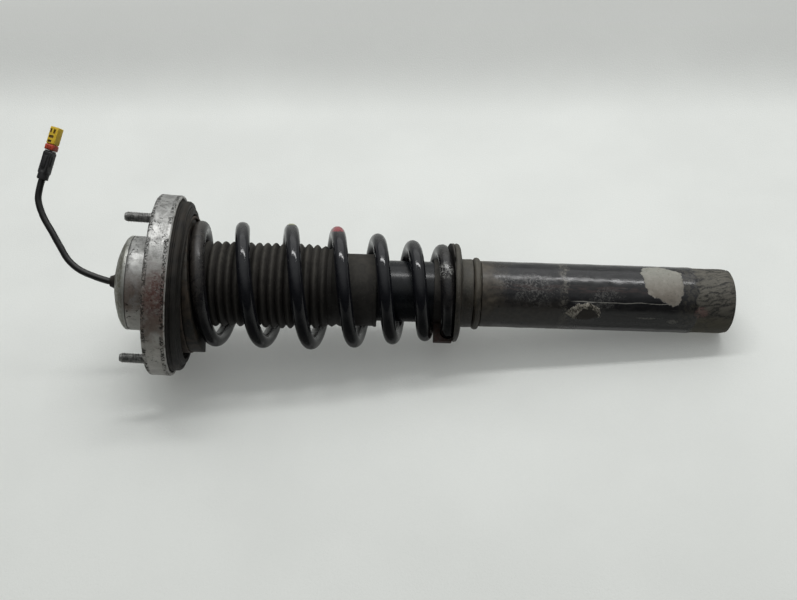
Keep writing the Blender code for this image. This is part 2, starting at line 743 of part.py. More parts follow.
def mount_rubber(frame):
    """Rubber between the cup's bore and the core, which keeps to the rod's axis."""
    rubber = turned("mount_rubber", [
        (0.0, 480.0), (28.0, 480.4), (CUP_BORE_R - GAP, 479.0), (CUP_BORE_R - GAP, 473.0),
        (30.0, 472.0), (0.0, 472.0),
    ], RUBBER, frame, steps=24, closed=False)
    core = as_cutter(cylinder("core_space", 16.0 + GAP, 460.0, 495.0, sides=28))
    combine(rubber, core, "DIFFERENCE")


def top_cap(frame):
    """Domed lid of the cup with the cable's hole in its middle."""
    skirt, wall = CUP_BORE_R - GAP, 1.4
    dome = [(38.7, 498.8), (38.7, 500.8), (37.0, 503.0), (33.0, 505.2), (26.3, 507.8),
            (18.0, 509.9), (10.0, 511.0), (4.7, 511.3)]
    under = [(4.7, 511.3 - wall), (10.0, 511.0 - wall), (18.0, 509.9 - wall),
             (26.3, 507.8 - wall), (skirt - wall, 501.8), (skirt - wall, 494.6),
             (skirt, 494.6), (skirt, 498.8)]
    turned("top_cap", dome + under, CAST, frame, steps=MOUNT_STEPS)


def cable_grommet(frame):
    turned("cable_grommet", [
        (CABLE_R + GAP, 517.0), (4.4, 516.8), (5.4, 514.0), (7.4, 511.6), (4.4, 511.6),
        (4.4, 509.5), (6.4, 509.5), (6.0, 507.4), (CABLE_R + GAP, 507.4),
    ], RUBBER, frame, steps=16)


# ---------------------------------------------------------------- cable and connector


def catmull(points, per_span):
    """Smooth line through points."""
    line = []
    ends = [2 * points[0] - points[1]] + points + [2 * points[-1] - points[-2]]
    for a, b, c, d in zip(ends, ends[1:], ends[2:], ends[3:]):
        for i in range(per_span):
            t = i / per_span
            line.append(0.5 * (2 * b + (c - a) * t + (2 * a - 5 * b + 4 * c - d) * t * t
                               + (3 * b - a - 3 * c + d) * t * t * t))
    line.append(points[-1])
    return line


def damper_cable():
    """One lead from the valve, up the rod's bore, out through the grommet to the plug."""
    foot = Vector(CONNECTOR_FOOT)
    tilt = math.radians(CONNECTOR_TILT_DEG)
    along = Vector((math.sin(tilt), 0.0, math.cos(tilt)))
    inside = [Vector((0.0, 0.0, z)) for z in (275.6, 345.0, 415.0, 478.0, 487.0)]
    outlet = [mount_point(z) for z in (503.0, 510.0, 517.5)]
    free = [Vector((x, -3.0, z)) for x, z in
            ((3.6, 529.0), (9.0, 542.5), (17.0, 552.4), (28.0, 559.6), (40.0, 566.8),
             (52.6, 574.4), (66.0, 579.0))]
    plug = [foot - 6.0 * along, foot + 4.0 * along, foot + 15.0 * along]
    wire("damper_cable", catmull(inside + outlet + free + plug, 3), CABLE_R, RUBBER)


def connector(frame):
    """Black backshell, red sliding lock and yellow housing with two pins."""
    neck_w, nose_end, pin_x = 6.2, 25.2, 1.3
    shell = box("connector_backshell", BACKSHELL_W, 5.0, 24.2, NYLON, frame, bevel=1.2)
    relief = as_cutter(cylinder("relief_body", 4.5, 0.3, 8.0, None, frame))
    nose = as_cutter(box("nose_body", neck_w, 22.0, nose_end, None, frame))
    bore = as_cutter(cylinder("cable_bore", CABLE_R + GAP, -1.0, 18.0, None, frame))
    combine(shell, relief, "UNION")
    combine(shell, nose, "UNION")
    combine(shell, bore, "DIFFERENCE")

    lock = box("connector_lock", 8.4, 25.5, 30.3, RED, frame, bevel=0.9)
    opening = as_cutter(box("lock_opening", neck_w + 0.7, 24.0, 32.0, None, frame))
    combine(lock, opening, "DIFFERENCE")

    housing = box("connector_housing", HOUSING_W, 30.6, HOUSING_END, YELLOW, frame, bevel=0.8)
    neck = as_cutter(box("neck_body", neck_w, nose_end + GAP, 32.0, None, frame))
    socket = as_cutter(box("socket_space", 5.6, 37.0, HOUSING_END + 2.0, None, frame))
    combine(housing, neck, "UNION")
    combine(housing, socket, "DIFFERENCE")
    for i, x in enumerate((-pin_x, pin_x)):
        hole = as_cutter(cylinder(f"pin_hole_{i + 1}", 0.9, 32.0, 38.0, None, frame, (x, 0.0),
                                  sides=12))
        combine(housing, hole, "DIFFERENCE")
        cylinder(f"connector_pin_{i + 1}", 0.6, 32.5, 43.5, BRASS, frame, (x, 0.0), sides=12)


def finish_meshes():
    """Turns each part's modifiers into its mesh and shades it smooth by angle."""
    depsgraph = bpy.context.evaluated_depsgraph_get()
    finished = []
    for obj in PARTS.objects:
        if obj.type == "MESH":
            finished.append((obj, bpy.data.meshes.new_from_object(obj.evaluated_get(depsgraph))))
    for obj, mesh in finished:
        obj.modifiers.clear()
        obj.data = mesh
        mesh.shade_smooth()
        mesh.set_sharp_from_angle(angle=math.radians(35.0))


def build():
    mount_axis = mount_frame()
    connector_axis = connector_frame()
    for make in (coil_spring, upper_spring_pad, lower_spring_pad, dust_gaiter, damper_tube,
                 clamp_sleeve, bottom_cap, base_valve, pressure_tube, rod_guide, rod_seal,
                 tube_cap, support_bead, lower_spring_seat, piston_rod, rebound_stop,
                 valve_housing, solenoid_coil, valve_spool, piston, bump_stop, bump_stop_cup,
                 rod_stack, thrust_bearing, spring_plate, damper_cable):
        make()
    hex_nut("piston_nut", 13.0, 5.0 + GAP, 216.0, 223.6, STEEL)
    for make in (bearing_support, mount_housing, mount_studs, dust_seal, mount_rubber, top_cap,
                 cable_grommet):
        make(mount_axis)
    connector(connector_axis)
    bpy.context.view_layer.update()
    finish_meshes()


build()
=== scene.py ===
"""Looks of the strut assembly: fine shapes, weathered finishes, a pale table and soft light.

Lengths are in millimetres in the row frame unless a name says otherwise: Z is the damper's axis
and the origin is the middle of the tube's lower end. Each built mesh carries the attribute
"rest", its points in the piece's own frame, and the finishes are laid out on that.
"""

import json
import math

import bmesh
import bpy
from mathutils import Matrix, Vector, noise


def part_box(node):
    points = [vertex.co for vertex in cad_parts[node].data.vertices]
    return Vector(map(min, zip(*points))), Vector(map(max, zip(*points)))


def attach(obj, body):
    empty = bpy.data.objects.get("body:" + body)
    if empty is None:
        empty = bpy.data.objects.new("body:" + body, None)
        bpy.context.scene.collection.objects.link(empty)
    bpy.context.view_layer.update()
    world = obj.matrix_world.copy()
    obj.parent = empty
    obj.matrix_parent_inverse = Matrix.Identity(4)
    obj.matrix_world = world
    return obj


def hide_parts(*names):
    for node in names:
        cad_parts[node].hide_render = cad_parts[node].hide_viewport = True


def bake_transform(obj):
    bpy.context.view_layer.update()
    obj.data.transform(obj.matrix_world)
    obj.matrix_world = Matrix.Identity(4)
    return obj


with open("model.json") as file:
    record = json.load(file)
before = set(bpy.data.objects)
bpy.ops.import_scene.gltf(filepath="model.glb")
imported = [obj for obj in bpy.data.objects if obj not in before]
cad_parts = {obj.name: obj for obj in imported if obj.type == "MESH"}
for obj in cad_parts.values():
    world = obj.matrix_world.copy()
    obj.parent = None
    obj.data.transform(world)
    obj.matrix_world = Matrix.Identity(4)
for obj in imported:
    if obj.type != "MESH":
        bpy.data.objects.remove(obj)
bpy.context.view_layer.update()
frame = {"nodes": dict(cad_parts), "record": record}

MM = 0.001
RECORD = frame["record"]
SLOTS = {part["node"]: part["material_slot"] for part in RECORD["subparts"]}
SEED = 1
noise.seed_set(SEED)  # noise_vector is offset by the clock otherwise, and no two runs are alike


def node_box(node):
    """Lowest and highest corner of a CAD node, in mm."""
    low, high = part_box(node)
    return low / MM, high / MM


def mount_named(name):
    return next(m for m in RECORD["mounts"] if m["name"] == name)


# ---- frames

ROW = Matrix.Identity(4)
MOUNT_CENTRE = Vector((-1.3, 0.0, 465.0))
FLANGE_AXIS = Vector(mount_named("top_flange")["axis"]).normalized()


def leaning_frame():
    """The top mount's frame: heights are counted from the origin along its leaning axis."""
    lean = Vector((0.0, 0.0, 1.0)).rotation_difference(FLANGE_AXIS).to_matrix().to_4x4()
    return Matrix.Translation(MOUNT_CENTRE) @ lean @ Matrix.Translation((0.0, 0.0, -MOUNT_CENTRE.z))


MOUNT = leaning_frame()
CONNECTOR = (Matrix.Translation((83.2, -3.0, 576.5)) @ Matrix.Rotation(math.radians(104.7), 4, "Y")
             @ Matrix.Rotation(math.radians(-14.0), 4, "Z"))

# ---- finishes


def operation(kind, swapped=False):
    def apply(self, other=0.0):
        first, second = (other, self) if swapped else (self, other)
        return self.nodes.math(kind, first, second)
    return apply


class Value:
    """Output of a node that can be used in sums."""

    def __init__(self, nodes, socket):
        self.nodes = nodes
        self.socket = socket

    __add__ = __radd__ = operation("ADD")
    __mul__ = __rmul__ = operation("MULTIPLY")
    __sub__ = operation("SUBTRACT")
    __rsub__ = operation("SUBTRACT", swapped=True)
    __truediv__ = operation("DIVIDE")
    __pow__ = operation("POWER")
    __abs__ = operation("ABSOLUTE")


class Nodes:
    """A node tree built node by node. Values and plain numbers mix freely."""

    def __init__(self, tree):
        self.tree = tree

    def add(self, kind, inputs=(), **settings):
        """New node; inputs are (name or index, value) pairs."""
        node = self.tree.nodes.new(kind)
        for key, value in settings.items():
            setattr(node, key, value)
        for key, value in inputs:
            self.put(node.inputs[key], value)
        return node

    def out(self, kind, output, inputs=(), **settings):
        """One output of a new node."""
        return Value(self, self.add(kind, inputs, **settings).outputs[output])

    def put(self, socket, value):
        if isinstance(value, Value):
            self.tree.links.new(value.socket, socket)
        elif isinstance(value, tuple) and socket.type == "RGBA":
            socket.default_value = (*value, 1.0)
        else:
            socket.default_value = value

    def math(self, kind, *numbers):
        return self.out("ShaderNodeMath", 0, enumerate(numbers), operation=kind)

    def most(self, a, b):
        return self.math("MAXIMUM", a, b)

    def dot(self, a, b):
        return self.out("ShaderNodeVectorMath", "Value", enumerate((a, b)), operation="DOT_PRODUCT")

    def span(self, value, low=0.3, high=0.7, to_low=0.0, to_high=1.0):
        """Smooth step of value from low to high."""
        ends = (("Value", value), ("From Min", low), ("From Max", high), ("To Min", to_low),
                ("To Max", to_high))
        return self.out("ShaderNodeMapRange", "Result", ends, interpolation_type="SMOOTHSTEP")

    def mix(self, factor, a, b):
        """Colour between a and b."""
        ends = (("Factor", factor), ("A", a), ("B", b))
        return self.out("ShaderNodeMix", "Result", ends, data_type="RGBA")

    def blend(self, factor, a, b):
        """Number between a and b."""
        ends = (("Factor", factor), ("A", a), ("B", b))
        return self.out("ShaderNodeMix", "Result", ends, data_type="FLOAT")


class Finish(Nodes):
    """One procedural material, laid out on the piece's own points in mm."""

    def __init__(self, name, attribute=True):
        self.mat = bpy.data.materials.new(name)
        self.mat.use_nodes = True
        super().__init__(self.mat.node_tree)
        self.shader = self.tree.nodes["Principled BSDF"]
        if attribute:
            self.at = self.out("ShaderNodeAttribute", "Vector", attribute_name="rest")
        else:
            metres = self.out("ShaderNodeTexCoord", "Object")
            self.at = self.out("ShaderNodeVectorMath", 0, ((0, metres), ("Scale", 1.0 / MM)),
                               operation="SCALE")

    def axes(self):
        node = self.add("ShaderNodeSeparateXYZ", ((0, self.at),))
        return [Value(self, socket) for socket in node.outputs]

    def joined(self, x, y, z):
        return self.out("ShaderNodeCombineXYZ", 0, enumerate((x, y, z)))

    def around(self):
        """Angle about Z, 0 on the -Y side and a quarter turn at +X, in radians."""
        x, y, _ = self.axes()
        return self.math("ARCTAN2", x, y * -1.0)

    def sector(self, low, high, to_low=0.0, to_high=1.0):
        """Smooth step of the angle round the axis, between two angles in degrees."""
        return self.span(self.around(), math.radians(low), math.radians(high), to_low, to_high)

    def across(self, shift=0.0):
        """Distance from the Z axis, or from a line beside it at X = shift."""
        x, y, _ = self.axes()
        x = x - shift
        return (x * x + y * y) ** 0.5

    def unrolled(self, radius, along):
        """Unrolled surface of a cylinder: arc, and height scaled."""
        z = self.axes()[2]
        return self.joined(self.around() * radius, z * along, 0.0)

    def noise(self, size, detail=3.0, rough=0.55, warp=0.0, at=None):
        """Noise of features about size mm across."""
        ends = (("Vector", self.at if at is None else at), ("Scale", 1.0 / size),
                ("Detail", detail), ("Roughness", rough), ("Distortion", warp))
        return self.out("ShaderNodeTexNoise", 0, ends)

    def upward(self, direction, low, high):
        """How far the surface faces a direction of the row frame, from low to high."""
        normal = self.out("ShaderNodeNewGeometry", "Normal")
        return self.span(self.dot(normal, Vector(direction).normalized()), low, high)

    def dull_below(self, specular):
        """Specular level that fades where the surface faces straight down."""
        return self.span(self.upward(DOWN, 0.45, 0.95), 0.0, 1.0, specular, 0.12 * specular)

    def spot(self, degrees, z, half_arc, half_height, radius, ragged=0.5, grain=5.0, soft=0.18):
        """Ragged-edged spot on a turned surface."""
        arc = (self.around() - math.radians(degrees)) * (radius / half_arc)
        rise = (self.axes()[2] - z) / half_height
        far = (arc * arc + rise * rise) ** 0.5
        wander = self.noise(grain, 4.0, 0.6) - 0.5
        return self.span(wander * (2.0 * ragged) + far, 1.0 + soft, 1.0 - soft)

    def panel(self, corners, radius, ragged, grain):
        """Inside of a convex outline given as (degrees, height) corners on a turned surface."""
        arc = self.around() * radius
        z = self.axes()[2]
        points = [Vector((math.radians(a) * radius, h)) for a, h in corners]
        edges = list(zip(points, points[1:] + points[:1]))
        turn = sum(a.x * b.y - b.x * a.y for a, b in edges)
        inside = 1000.0
        for a, b in edges:
            along = (b - a).normalized() * math.copysign(1.0, turn)
            reach = arc * -along.y + z * along.x - (a.y * along.x - a.x * along.y)
            inside = self.math("MINIMUM", inside, reach)
        wander = self.noise(grain, 5.0, 0.65, 0.4) - 0.5
        return self.span(wander * (4.0 * ragged) + inside, -0.35, 0.35)

    def tones(self, value, dark, light, low=0.3, high=0.7):
        """Starts the colour off between two tones."""
        self.colour = self.mix(self.span(value, low, high), dark, light)

    def coat(self, share, colour):
        """Lays a colour over what is there already."""
        self.colour = self.mix(share, self.colour, colour)

    def bump(self, height, distance):
        """Bump of a height field whose full swing is distance mm."""
        ends = (("Strength", 1.0), ("Distance", distance * MM), ("Height", height))
        return self.out("ShaderNodeBump", "Normal", ends)

    def done(self, rough, metal, normal, specular=0.5):
        for key, value in (("Base Color", self.colour), ("Roughness", rough), ("Metallic", metal),
                           ("Normal", normal), ("Specular IOR Level", specular)):
            self.put(self.shader.inputs[key], value)
        return self.mat


UP = (0.88, -0.47, 0.0)      # the side that the dust settles on and the light comes from; the dust tone laid on faces toward it is partly painted light
DOWN = (-0.92, -0.39, 0.0)   # the underside


def cast_metal(name, radius, stain=1.0, edges=()):
    """Grey cast aluminium: mottled, specked black, browned low down, and painted lighter on the
    side facing the table as a reflection of it.
    """
    f = Finish(name)
    z = f.axes()[2]
    mottle = f.noise(9.0, 5.0, 0.62, 0.4)
    fine = f.noise(1.2, 4.0, 0.6)
    f.tones(mottle, (0.22, 0.22, 0.21), (0.43, 0.43, 0.415), 0.33, 0.68)
    f.coat(f.span(fine, 0.4, 0.75, 0.0, 0.45), (0.54, 0.54, 0.53))
    low_side = f.sector(22.0, -12.0) * f.sector(-58.0, -26.0, 0.1, 1.0)
    brown = low_side * f.span(f.noise(13.0, 4.0, 0.6, 0.5), 0.3, 0.58, 0.3, 0.9 * stain)
    f.coat(brown, (0.19, 0.14, 0.115))
    # painted reflection: the side facing the table made lighter, standing in for the table's
    # reflection
    f.coat(f.sector(-24.0, -50.0, 0.0, 0.6), (0.6, 0.58, 0.54))
    rust = (f.spot(-7.0, 466.0, 17.0, 9.0, radius, 0.9, 5.0, 0.5)
            * f.span(f.noise(2.6, 4.0, 0.65), 0.34, 0.58))
    f.coat(rust * (0.85 * stain), (0.115, 0.045, 0.038))
    specks = f.span(f.noise(2.4, 5.0, 0.72, 0.8), 0.57, 0.61)
    clusters = f.span(f.noise(21.0, 3.0, 0.5), 0.44, 0.58)
    for height in edges:
        near = f.span(abs(z - height), 3.0, 1.0)
        near = near * f.span(f.noise(11.0, 3.0, 0.5, 0.3), 0.34, 0.46)
        clusters = f.most(clusters, near)
        specks = f.most(specks, near * f.span(f.noise(1.7, 4.0, 0.7, 0.5), 0.47, 0.53))
    dark = specks * clusters
    f.coat(dark * 0.92, (0.018, 0.016, 0.012))
    rough = f.blend(dark, f.span(mottle, 0.3, 0.7, 0.50, 0.38), 0.75)
    rough = f.blend(brown, rough, 0.62)
    return f, rough, f.bump(fine * 0.35 + mottle * 0.3 - dark * 0.6, 0.35)


def flange_finish():
    f, rough, normal = cast_metal("flange_casting", 75.0, 1.0, (462.2, 477.2))
    z = f.axes()[2]
    # rubbed chamfer edge made lighter: partly wear, partly a painted highlight along the rim
    edge = f.span(z, 461.4, 460.8) * f.span(f.noise(5.0, 3.0), 0.3, 0.5, 0.0, 0.75)
    f.coat(edge, (0.6, 0.59, 0.56))
    rough = f.blend(edge, rough, 0.34)
    return f.done(rough, 0.6, normal)


def cup_finish():
    """Pressed and turned aluminium with olive grime at its rim."""
    f, rough, normal = cast_metal("cap_metal", 39.0, 0.3)
    z = f.axes()[2]
    clean = f.span(f.noise(14.0, 3.0), 0.35, 0.60, 0.35, 0.85)
    f.coat(clean, (0.37, 0.375, 0.35))
    rim = f.span(z, 497.5, 503.5) * f.span(f.noise(3.0, 4.0, 0.6), 0.4, 0.6, 0.25, 0.8)
    centre = f.span(f.across(), 18.0, 6.0) * f.span(f.noise(2.4, 4.0), 0.4, 0.6, 0.0, 0.6)
    f.coat(f.most(rim, centre), (0.125, 0.118, 0.065))
    return f.done(rough, 0.6, normal)


def zinc_finish(name, attribute=True):
    """Dull dark plating on fasteners, with a trace of white bloom."""
    f = Finish(name, attribute)
    patch = f.noise(3.5, 4.0, 0.6, 0.4)
    f.tones(patch, (0.15, 0.15, 0.146), (0.32, 0.32, 0.31), 0.35, 0.65)
    bloom = f.span(f.noise(0.9, 3.0, 0.6), 0.60, 0.72, 0.0, 0.5)
    f.coat(bloom, (0.33, 0.33, 0.31))
    return f.done(f.span(patch, 0.3, 0.7, 0.36, 0.55), 0.8, f.bump(patch, 0.06))


def rubber_finish(name, dust=0.5, brown=0.4, attribute=True, size=6.0):
    """Black rubber: fine grain, greyish dust on upward faces that is partly painted light, brown
    soil in patches.
    """
    f = Finish(name, attribute)
    grain = f.noise(0.7, 3.0, 0.6)
    patch = f.noise(size, 5.0, 0.65, 0.6)
    f.tones(patch, (0.008, 0.0075, 0.0065), (0.019, 0.0175, 0.015))
    # grey dust on faces toward the key light: partly dust, partly painted light on the lit side
    dust_and_top_light = f.upward(UP, 0.15, 0.95) * f.span(patch, 0.3, 0.62, 0.25, 1.0)
    f.coat(dust_and_top_light * dust, (0.13, 0.122, 0.105))
    soil = f.span(f.noise(size * 1.7, 4.0, 0.6, 0.5), 0.46, 0.66, 0.0, brown)
    f.coat(soil, (0.06, 0.046, 0.034))
    rough = f.blend(dust_and_top_light, 0.55, 0.85)
    height = grain * 0.4 + patch
    return f.done(rough, 0.0, f.bump(height, 0.12), 0.26)


def lower_pad_finish():
    """Black rubber, red and flaking under the spring's end."""
    f = Finish("lower_pad_rubber")
    patch = f.noise(5.0, 5.0, 0.65, 0.6)
    f.tones(patch, (0.011, 0.01, 0.009), (0.024, 0.021, 0.018))
    # grey dust on faces toward the key light: partly dust, partly painted light
    dust_and_top_light = f.upward(UP, 0.1, 1.0) * f.span(patch, 0.3, 0.6, 0.3, 1.0)
    f.coat(dust_and_top_light * 0.4, (0.11, 0.102, 0.088))
    red = f.sector(-50.0, -80.0) * f.span(f.noise(2.5, 4.0, 0.66, 0.5), 0.4, 0.58, 0.15, 0.9)
    f.coat(red, (0.038, 0.011, 0.007))
    return f.done(0.75, 0.0, f.bump(patch, 0.2), 0.35)


def gaiter_finish():
    """Grey-brown dusty rubber; the fold crests are rubbed lighter, painted shade darkens the roots,
    and the dust on faces toward the key light is partly painted light.
    """
    f = Finish("gaiter_rubber")
    z = f.axes()[2]
    across = f.across(1.4)
    patch = f.noise(7.0, 5.0, 0.62, 0.5)
    f.tones(patch, (0.018, 0.0165, 0.0145), (0.036, 0.033, 0.029))
    # painted shade in the fold roots
    root_shade = f.span(across, 34.6, 33.0)
    folds = f.span(z, 318.0, 323.0)
    f.coat(root_shade * folds * f.span(patch, 0.2, 0.5, 0.5, 0.85), (0.01, 0.009, 0.008))
    crest = f.span(across, 34.6, 36.2) * folds
    rub = crest * f.span(f.noise(4.5, 4.0, 0.6), 0.35, 0.6, 0.15, 0.6)
    f.coat(rub, (0.05, 0.046, 0.038))
    # grey dust on faces toward the key light: partly dust, partly painted light
    dust_and_top_light = f.upward(UP, 0.25, 1.0) * f.span(patch, 0.3, 0.6, 0.45, 1.0)
    f.coat(dust_and_top_light * 0.24, (0.1, 0.094, 0.078))
    grime = f.span(f.noise(2.0, 4.0, 0.65), 0.60, 0.72, 0.0, 0.5)
    f.coat(grime, (0.085, 0.078, 0.066))
    rough = f.blend(dust_and_top_light, 0.62, 0.85)
    height = patch + f.noise(0.8, 3.0) * 0.35
    return f.done(rough, 0.0, f.bump(height, 0.16), 0.28)


def spring_finish():
    """Gloss black enamel: dusty on top and near both ends, with two dabs of marking paint; the dust
    on top is partly painted light.
    """
    f = Finish("spring_enamel")
    x, y, z = f.axes()
    patch = f.noise(6.0, 5.0, 0.62, 0.6)
    f.tones(patch, (0.006, 0.0065, 0.009), (0.012, 0.0125, 0.015))
    first = f.span(z, 424.0, 440.0)
    ends = f.most(first, f.span(z, 256.0, 240.0, 0.0, 0.4))
    # dust on the upper faces, toward the light: partly dust, partly painted light
    dust_and_top_light = f.upward((1.0, -0.05, 0.0), 0.6, 1.0) * f.span(patch, 0.25, 0.6, 0.35, 1.0)
    f.coat(dust_and_top_light * 0.26, (0.15, 0.148, 0.14))
    scuffs = f.span(f.noise(1.3, 4.0, 0.66, 0.5), 0.50, 0.64)
    outer = f.span(f.across() - f.span(z, 230.0, 330.0, 33.5, 46.5), -2.5, 2.0)
    film = ends * f.span(patch, 0.3, 0.55, 0.35, 0.95) * f.upward(UP, -0.6, 0.5) * outer
    f.coat(film * 0.55, (0.044, 0.037, 0.029))
    f.coat(film * scuffs * 0.4, (0.12, 0.108, 0.09))
    worn = (f.span(z, 252.0, 244.0) * f.spot(27.0, 240.0, 6.0, 8.0, 38.0, 0.8, 3.0, 0.4)
            * f.span(f.noise(1.8, 4.0, 0.7, 0.8), 0.48, 0.56))
    f.coat(worn * 0.8, (0.36, 0.36, 0.34))

    def dab(height, reach, spread):
        near = f.span(abs(z - height), spread, 0.55 * spread)
        side = f.span(x, reach, reach + 1.2) * f.span(y, 9.0, 4.0)
        torn = f.span(f.noise(1.6, 3.0, 0.6), 0.36, 0.46)
        return near * side * torn

    f.coat(dab(366.5, 51.4, 5.5) * 0.7, (0.46, 0.47, 0.22))
    f.coat(dab(328.0, 46.4, 8.0) * 0.9, (0.34, 0.05, 0.062))
    rough = f.blend(film, f.span(patch, 0.3, 0.7, 0.06, 0.10), 0.48)
    rough = f.blend(dust_and_top_light, rough, 0.38)
    height = patch * 0.5 + scuffs * 0.25
    return f.done(rough, 0.0, f.bump(height, 0.035), f.dull_below(0.42))


def tube_finish():
    """Gloss black enamel of the tube's upper length."""
    f = Finish("tube_enamel")
    patch = f.noise(8.0, 4.0, 0.6, 0.4)
    f.tones(patch, (0.004, 0.005, 0.0065), (0.009, 0.011, 0.0135))
    dust = f.span(f.noise(1.1, 4.0, 0.7), 0.60, 0.74, 0.0, 0.35)
    f.coat(dust, (0.09, 0.09, 0.085))
    rough = f.span(patch, 0.3, 0.7, 0.22, 0.32)
    return f.done(rough, 0.0, f.bump(patch, 0.05), f.dull_below(0.32))


def sleeve_finish():
    """Black paint on the clamp sleeve: dusty, scuffed and chipped, worn bare at the foot."""
    f = Finish("sleeve_paint")
    radius = 27.5
    _, y, z = f.axes()
    around = f.around()
    patch = f.noise(10.0, 5.0, 0.62, 0.6)
    grit = f.noise(1.0, 4.0, 0.65)
    drawn = f.noise(2.2, 4.0, 0.6, 0.3, at=f.unrolled(radius, 0.16))
    f.tones(patch, (0.0085, 0.009, 0.0105), (0.018, 0.018, 0.0195))
    film = f.span(drawn, 0.45, 0.72, 0.0, 0.22)
    f.coat(film, (0.055, 0.055, 0.058))
    reddish = (f.span(abs(around - 0.22), 0.16, 0.05) * f.span(z, 50.0, 90.0)
               * f.span(drawn, 0.4, 0.6))
    f.coat(reddish * 0.45, (0.06, 0.034, 0.03))
    # brown soil below the seat, fading down the tube; on the side facing down the brown is partly a
    # painted reflection of the shaded table, and painted shade darkens it there
    grade = patch * 30.0 + z
    soil = f.span(grade, 196.0, 222.0, 0.0, 0.9) * f.span(patch, 0.28, 0.62, 0.6, 1.0)
    # the brown reaching further down on the side facing down: partly soil, partly a painted
    # reflection of the shaded table
    low = (f.sector(4.0, -40.0, 0.0, 0.62) * f.span(grade, 142.0, 160.0, 0.25, 1.0)
           * f.span(patch, 0.25, 0.6, 0.5, 1.0))
    soil = f.most(soil, low)
    earth = f.mix(f.span(f.noise(4.0, 4.0, 0.6)), (0.042, 0.034, 0.025), (0.098, 0.083, 0.062))
    # painted shade: the soil colour made darker on the side facing down
    earth = f.mix(f.sector(-6.0, -48.0, 0.0, 0.5), earth, (0.020, 0.017, 0.013))
    f.coat(soil, earth)
    # scuffs
    marks = f.most(f.spot(10.0, 165.0, 12.0, 17.0, radius, 0.9, 6.0, 0.5),
                   f.spot(22.0, 189.0, 6.0, 8.0, radius, 0.8, 4.0, 0.5))
    marks = f.most(marks, f.spot(-2.0, 107.0, 8.0, 12.0, radius, 0.9, 5.0, 0.5))
    marks = marks * f.span(f.noise(2.0, 5.0, 0.72, 1.2), 0.48, 0.6)
    f.coat(marks * 0.62, (0.15, 0.147, 0.138))
    wander = (f.noise(9.0, 3.0) - 0.5) * 14.0
    hoop = abs(z + wander - 141.0)
    hoop = f.span(hoop, 4.2, 0.6) * f.span(f.noise(2.4, 5.0, 0.68, 0.8), 0.4, 0.62)
    f.coat(hoop * 0.7, (0.165, 0.155, 0.132))
    sway = (f.noise(30.0, 3.0) - 0.5) * 6.0
    arc = around * radius
    line = abs(arc + 4.3 + sway)
    line = (f.span(line, 0.5, 0.12) * f.span(z, 50.0, 60.0) * f.span(z, 138.0, 128.0)
            * f.span(drawn, 0.36, 0.5, 0.25, 1.0))
    f.coat(line * 0.85, (0.34, 0.33, 0.3))
    scratch = f.noise(0.9, 3.0, 0.55, 0.2, at=f.unrolled(radius, 0.03))
    scratch = f.span(scratch, 0.665, 0.7) * f.span(z, 30.0, 60.0) * f.span(z, 150.0, 120.0)
    f.coat(scratch * 0.4, (0.15, 0.145, 0.135))
    # blistered chip with a pale broken edge over its upper side
    chip = f.panel(((-14.0, 131.0), (-10.0, 121.0), (-20.0, 112.5), (-36.0, 110.5),
                    (-43.0, 122.0), (-40.0, 135.0), (-27.0, 140.0)), radius, 1.5, 4.0)
    core = f.panel(((-22.0, 126.0), (-22.0, 117.0), (-33.0, 112.0), (-47.0, 113.0),
                    (-47.0, 128.0), (-35.0, 131.0)), radius, 1.4, 3.0)
    rim = chip * (1.0 - core)
    crust = f.mix(f.span(f.noise(2.6, 5.0, 0.7, 1.0), 0.40, 0.60), (0.030, 0.026, 0.018),
                  (0.55, 0.51, 0.43))
    f.coat(rim * 0.95, crust)
    f.coat(chip * core * 0.8, (0.03, 0.025, 0.018))
    blot = f.most(f.spot(-42.0, 50.5, 2.2, 4.2, radius, 0.7, 2.5, 0.2),
                  f.spot(-36.0, 72.0, 0.8, 8.0, radius, 0.6, 2.5, 0.3))
    blot = blot * f.span(f.noise(2.0, 4.0, 0.65), 0.38, 0.5)
    f.coat(blot * 0.8, (0.22, 0.215, 0.19))
    # pale bare patch
    bare = f.panel(((76.0, 61.0), (68.0, 74.0), (50.0, 77.5), (21.0, 75.0), (6.0, 71.0),
                    (-3.0, 62.0), (-12.0, 52.5), (-6.0, 47.0), (12.0, 44.3), (52.0, 43.5)),
                   radius, 1.6, 5.0)
    tone = f.mix(f.span(around, 0.0, 1.1), (0.235, 0.208, 0.175), (0.285, 0.285, 0.250))
    tone = f.mix(f.span(f.noise(5.0, 4.0, 0.6), 0.40, 0.7, 0.0, 0.45), tone, (0.38, 0.36, 0.315))
    tone = f.mix(f.span(f.noise(2.4, 5.0, 0.72, 0.8), 0.54, 0.64, 0.0, 0.6), tone,
                 (0.15, 0.14, 0.115))
    f.coat(bare * 0.95, tone)
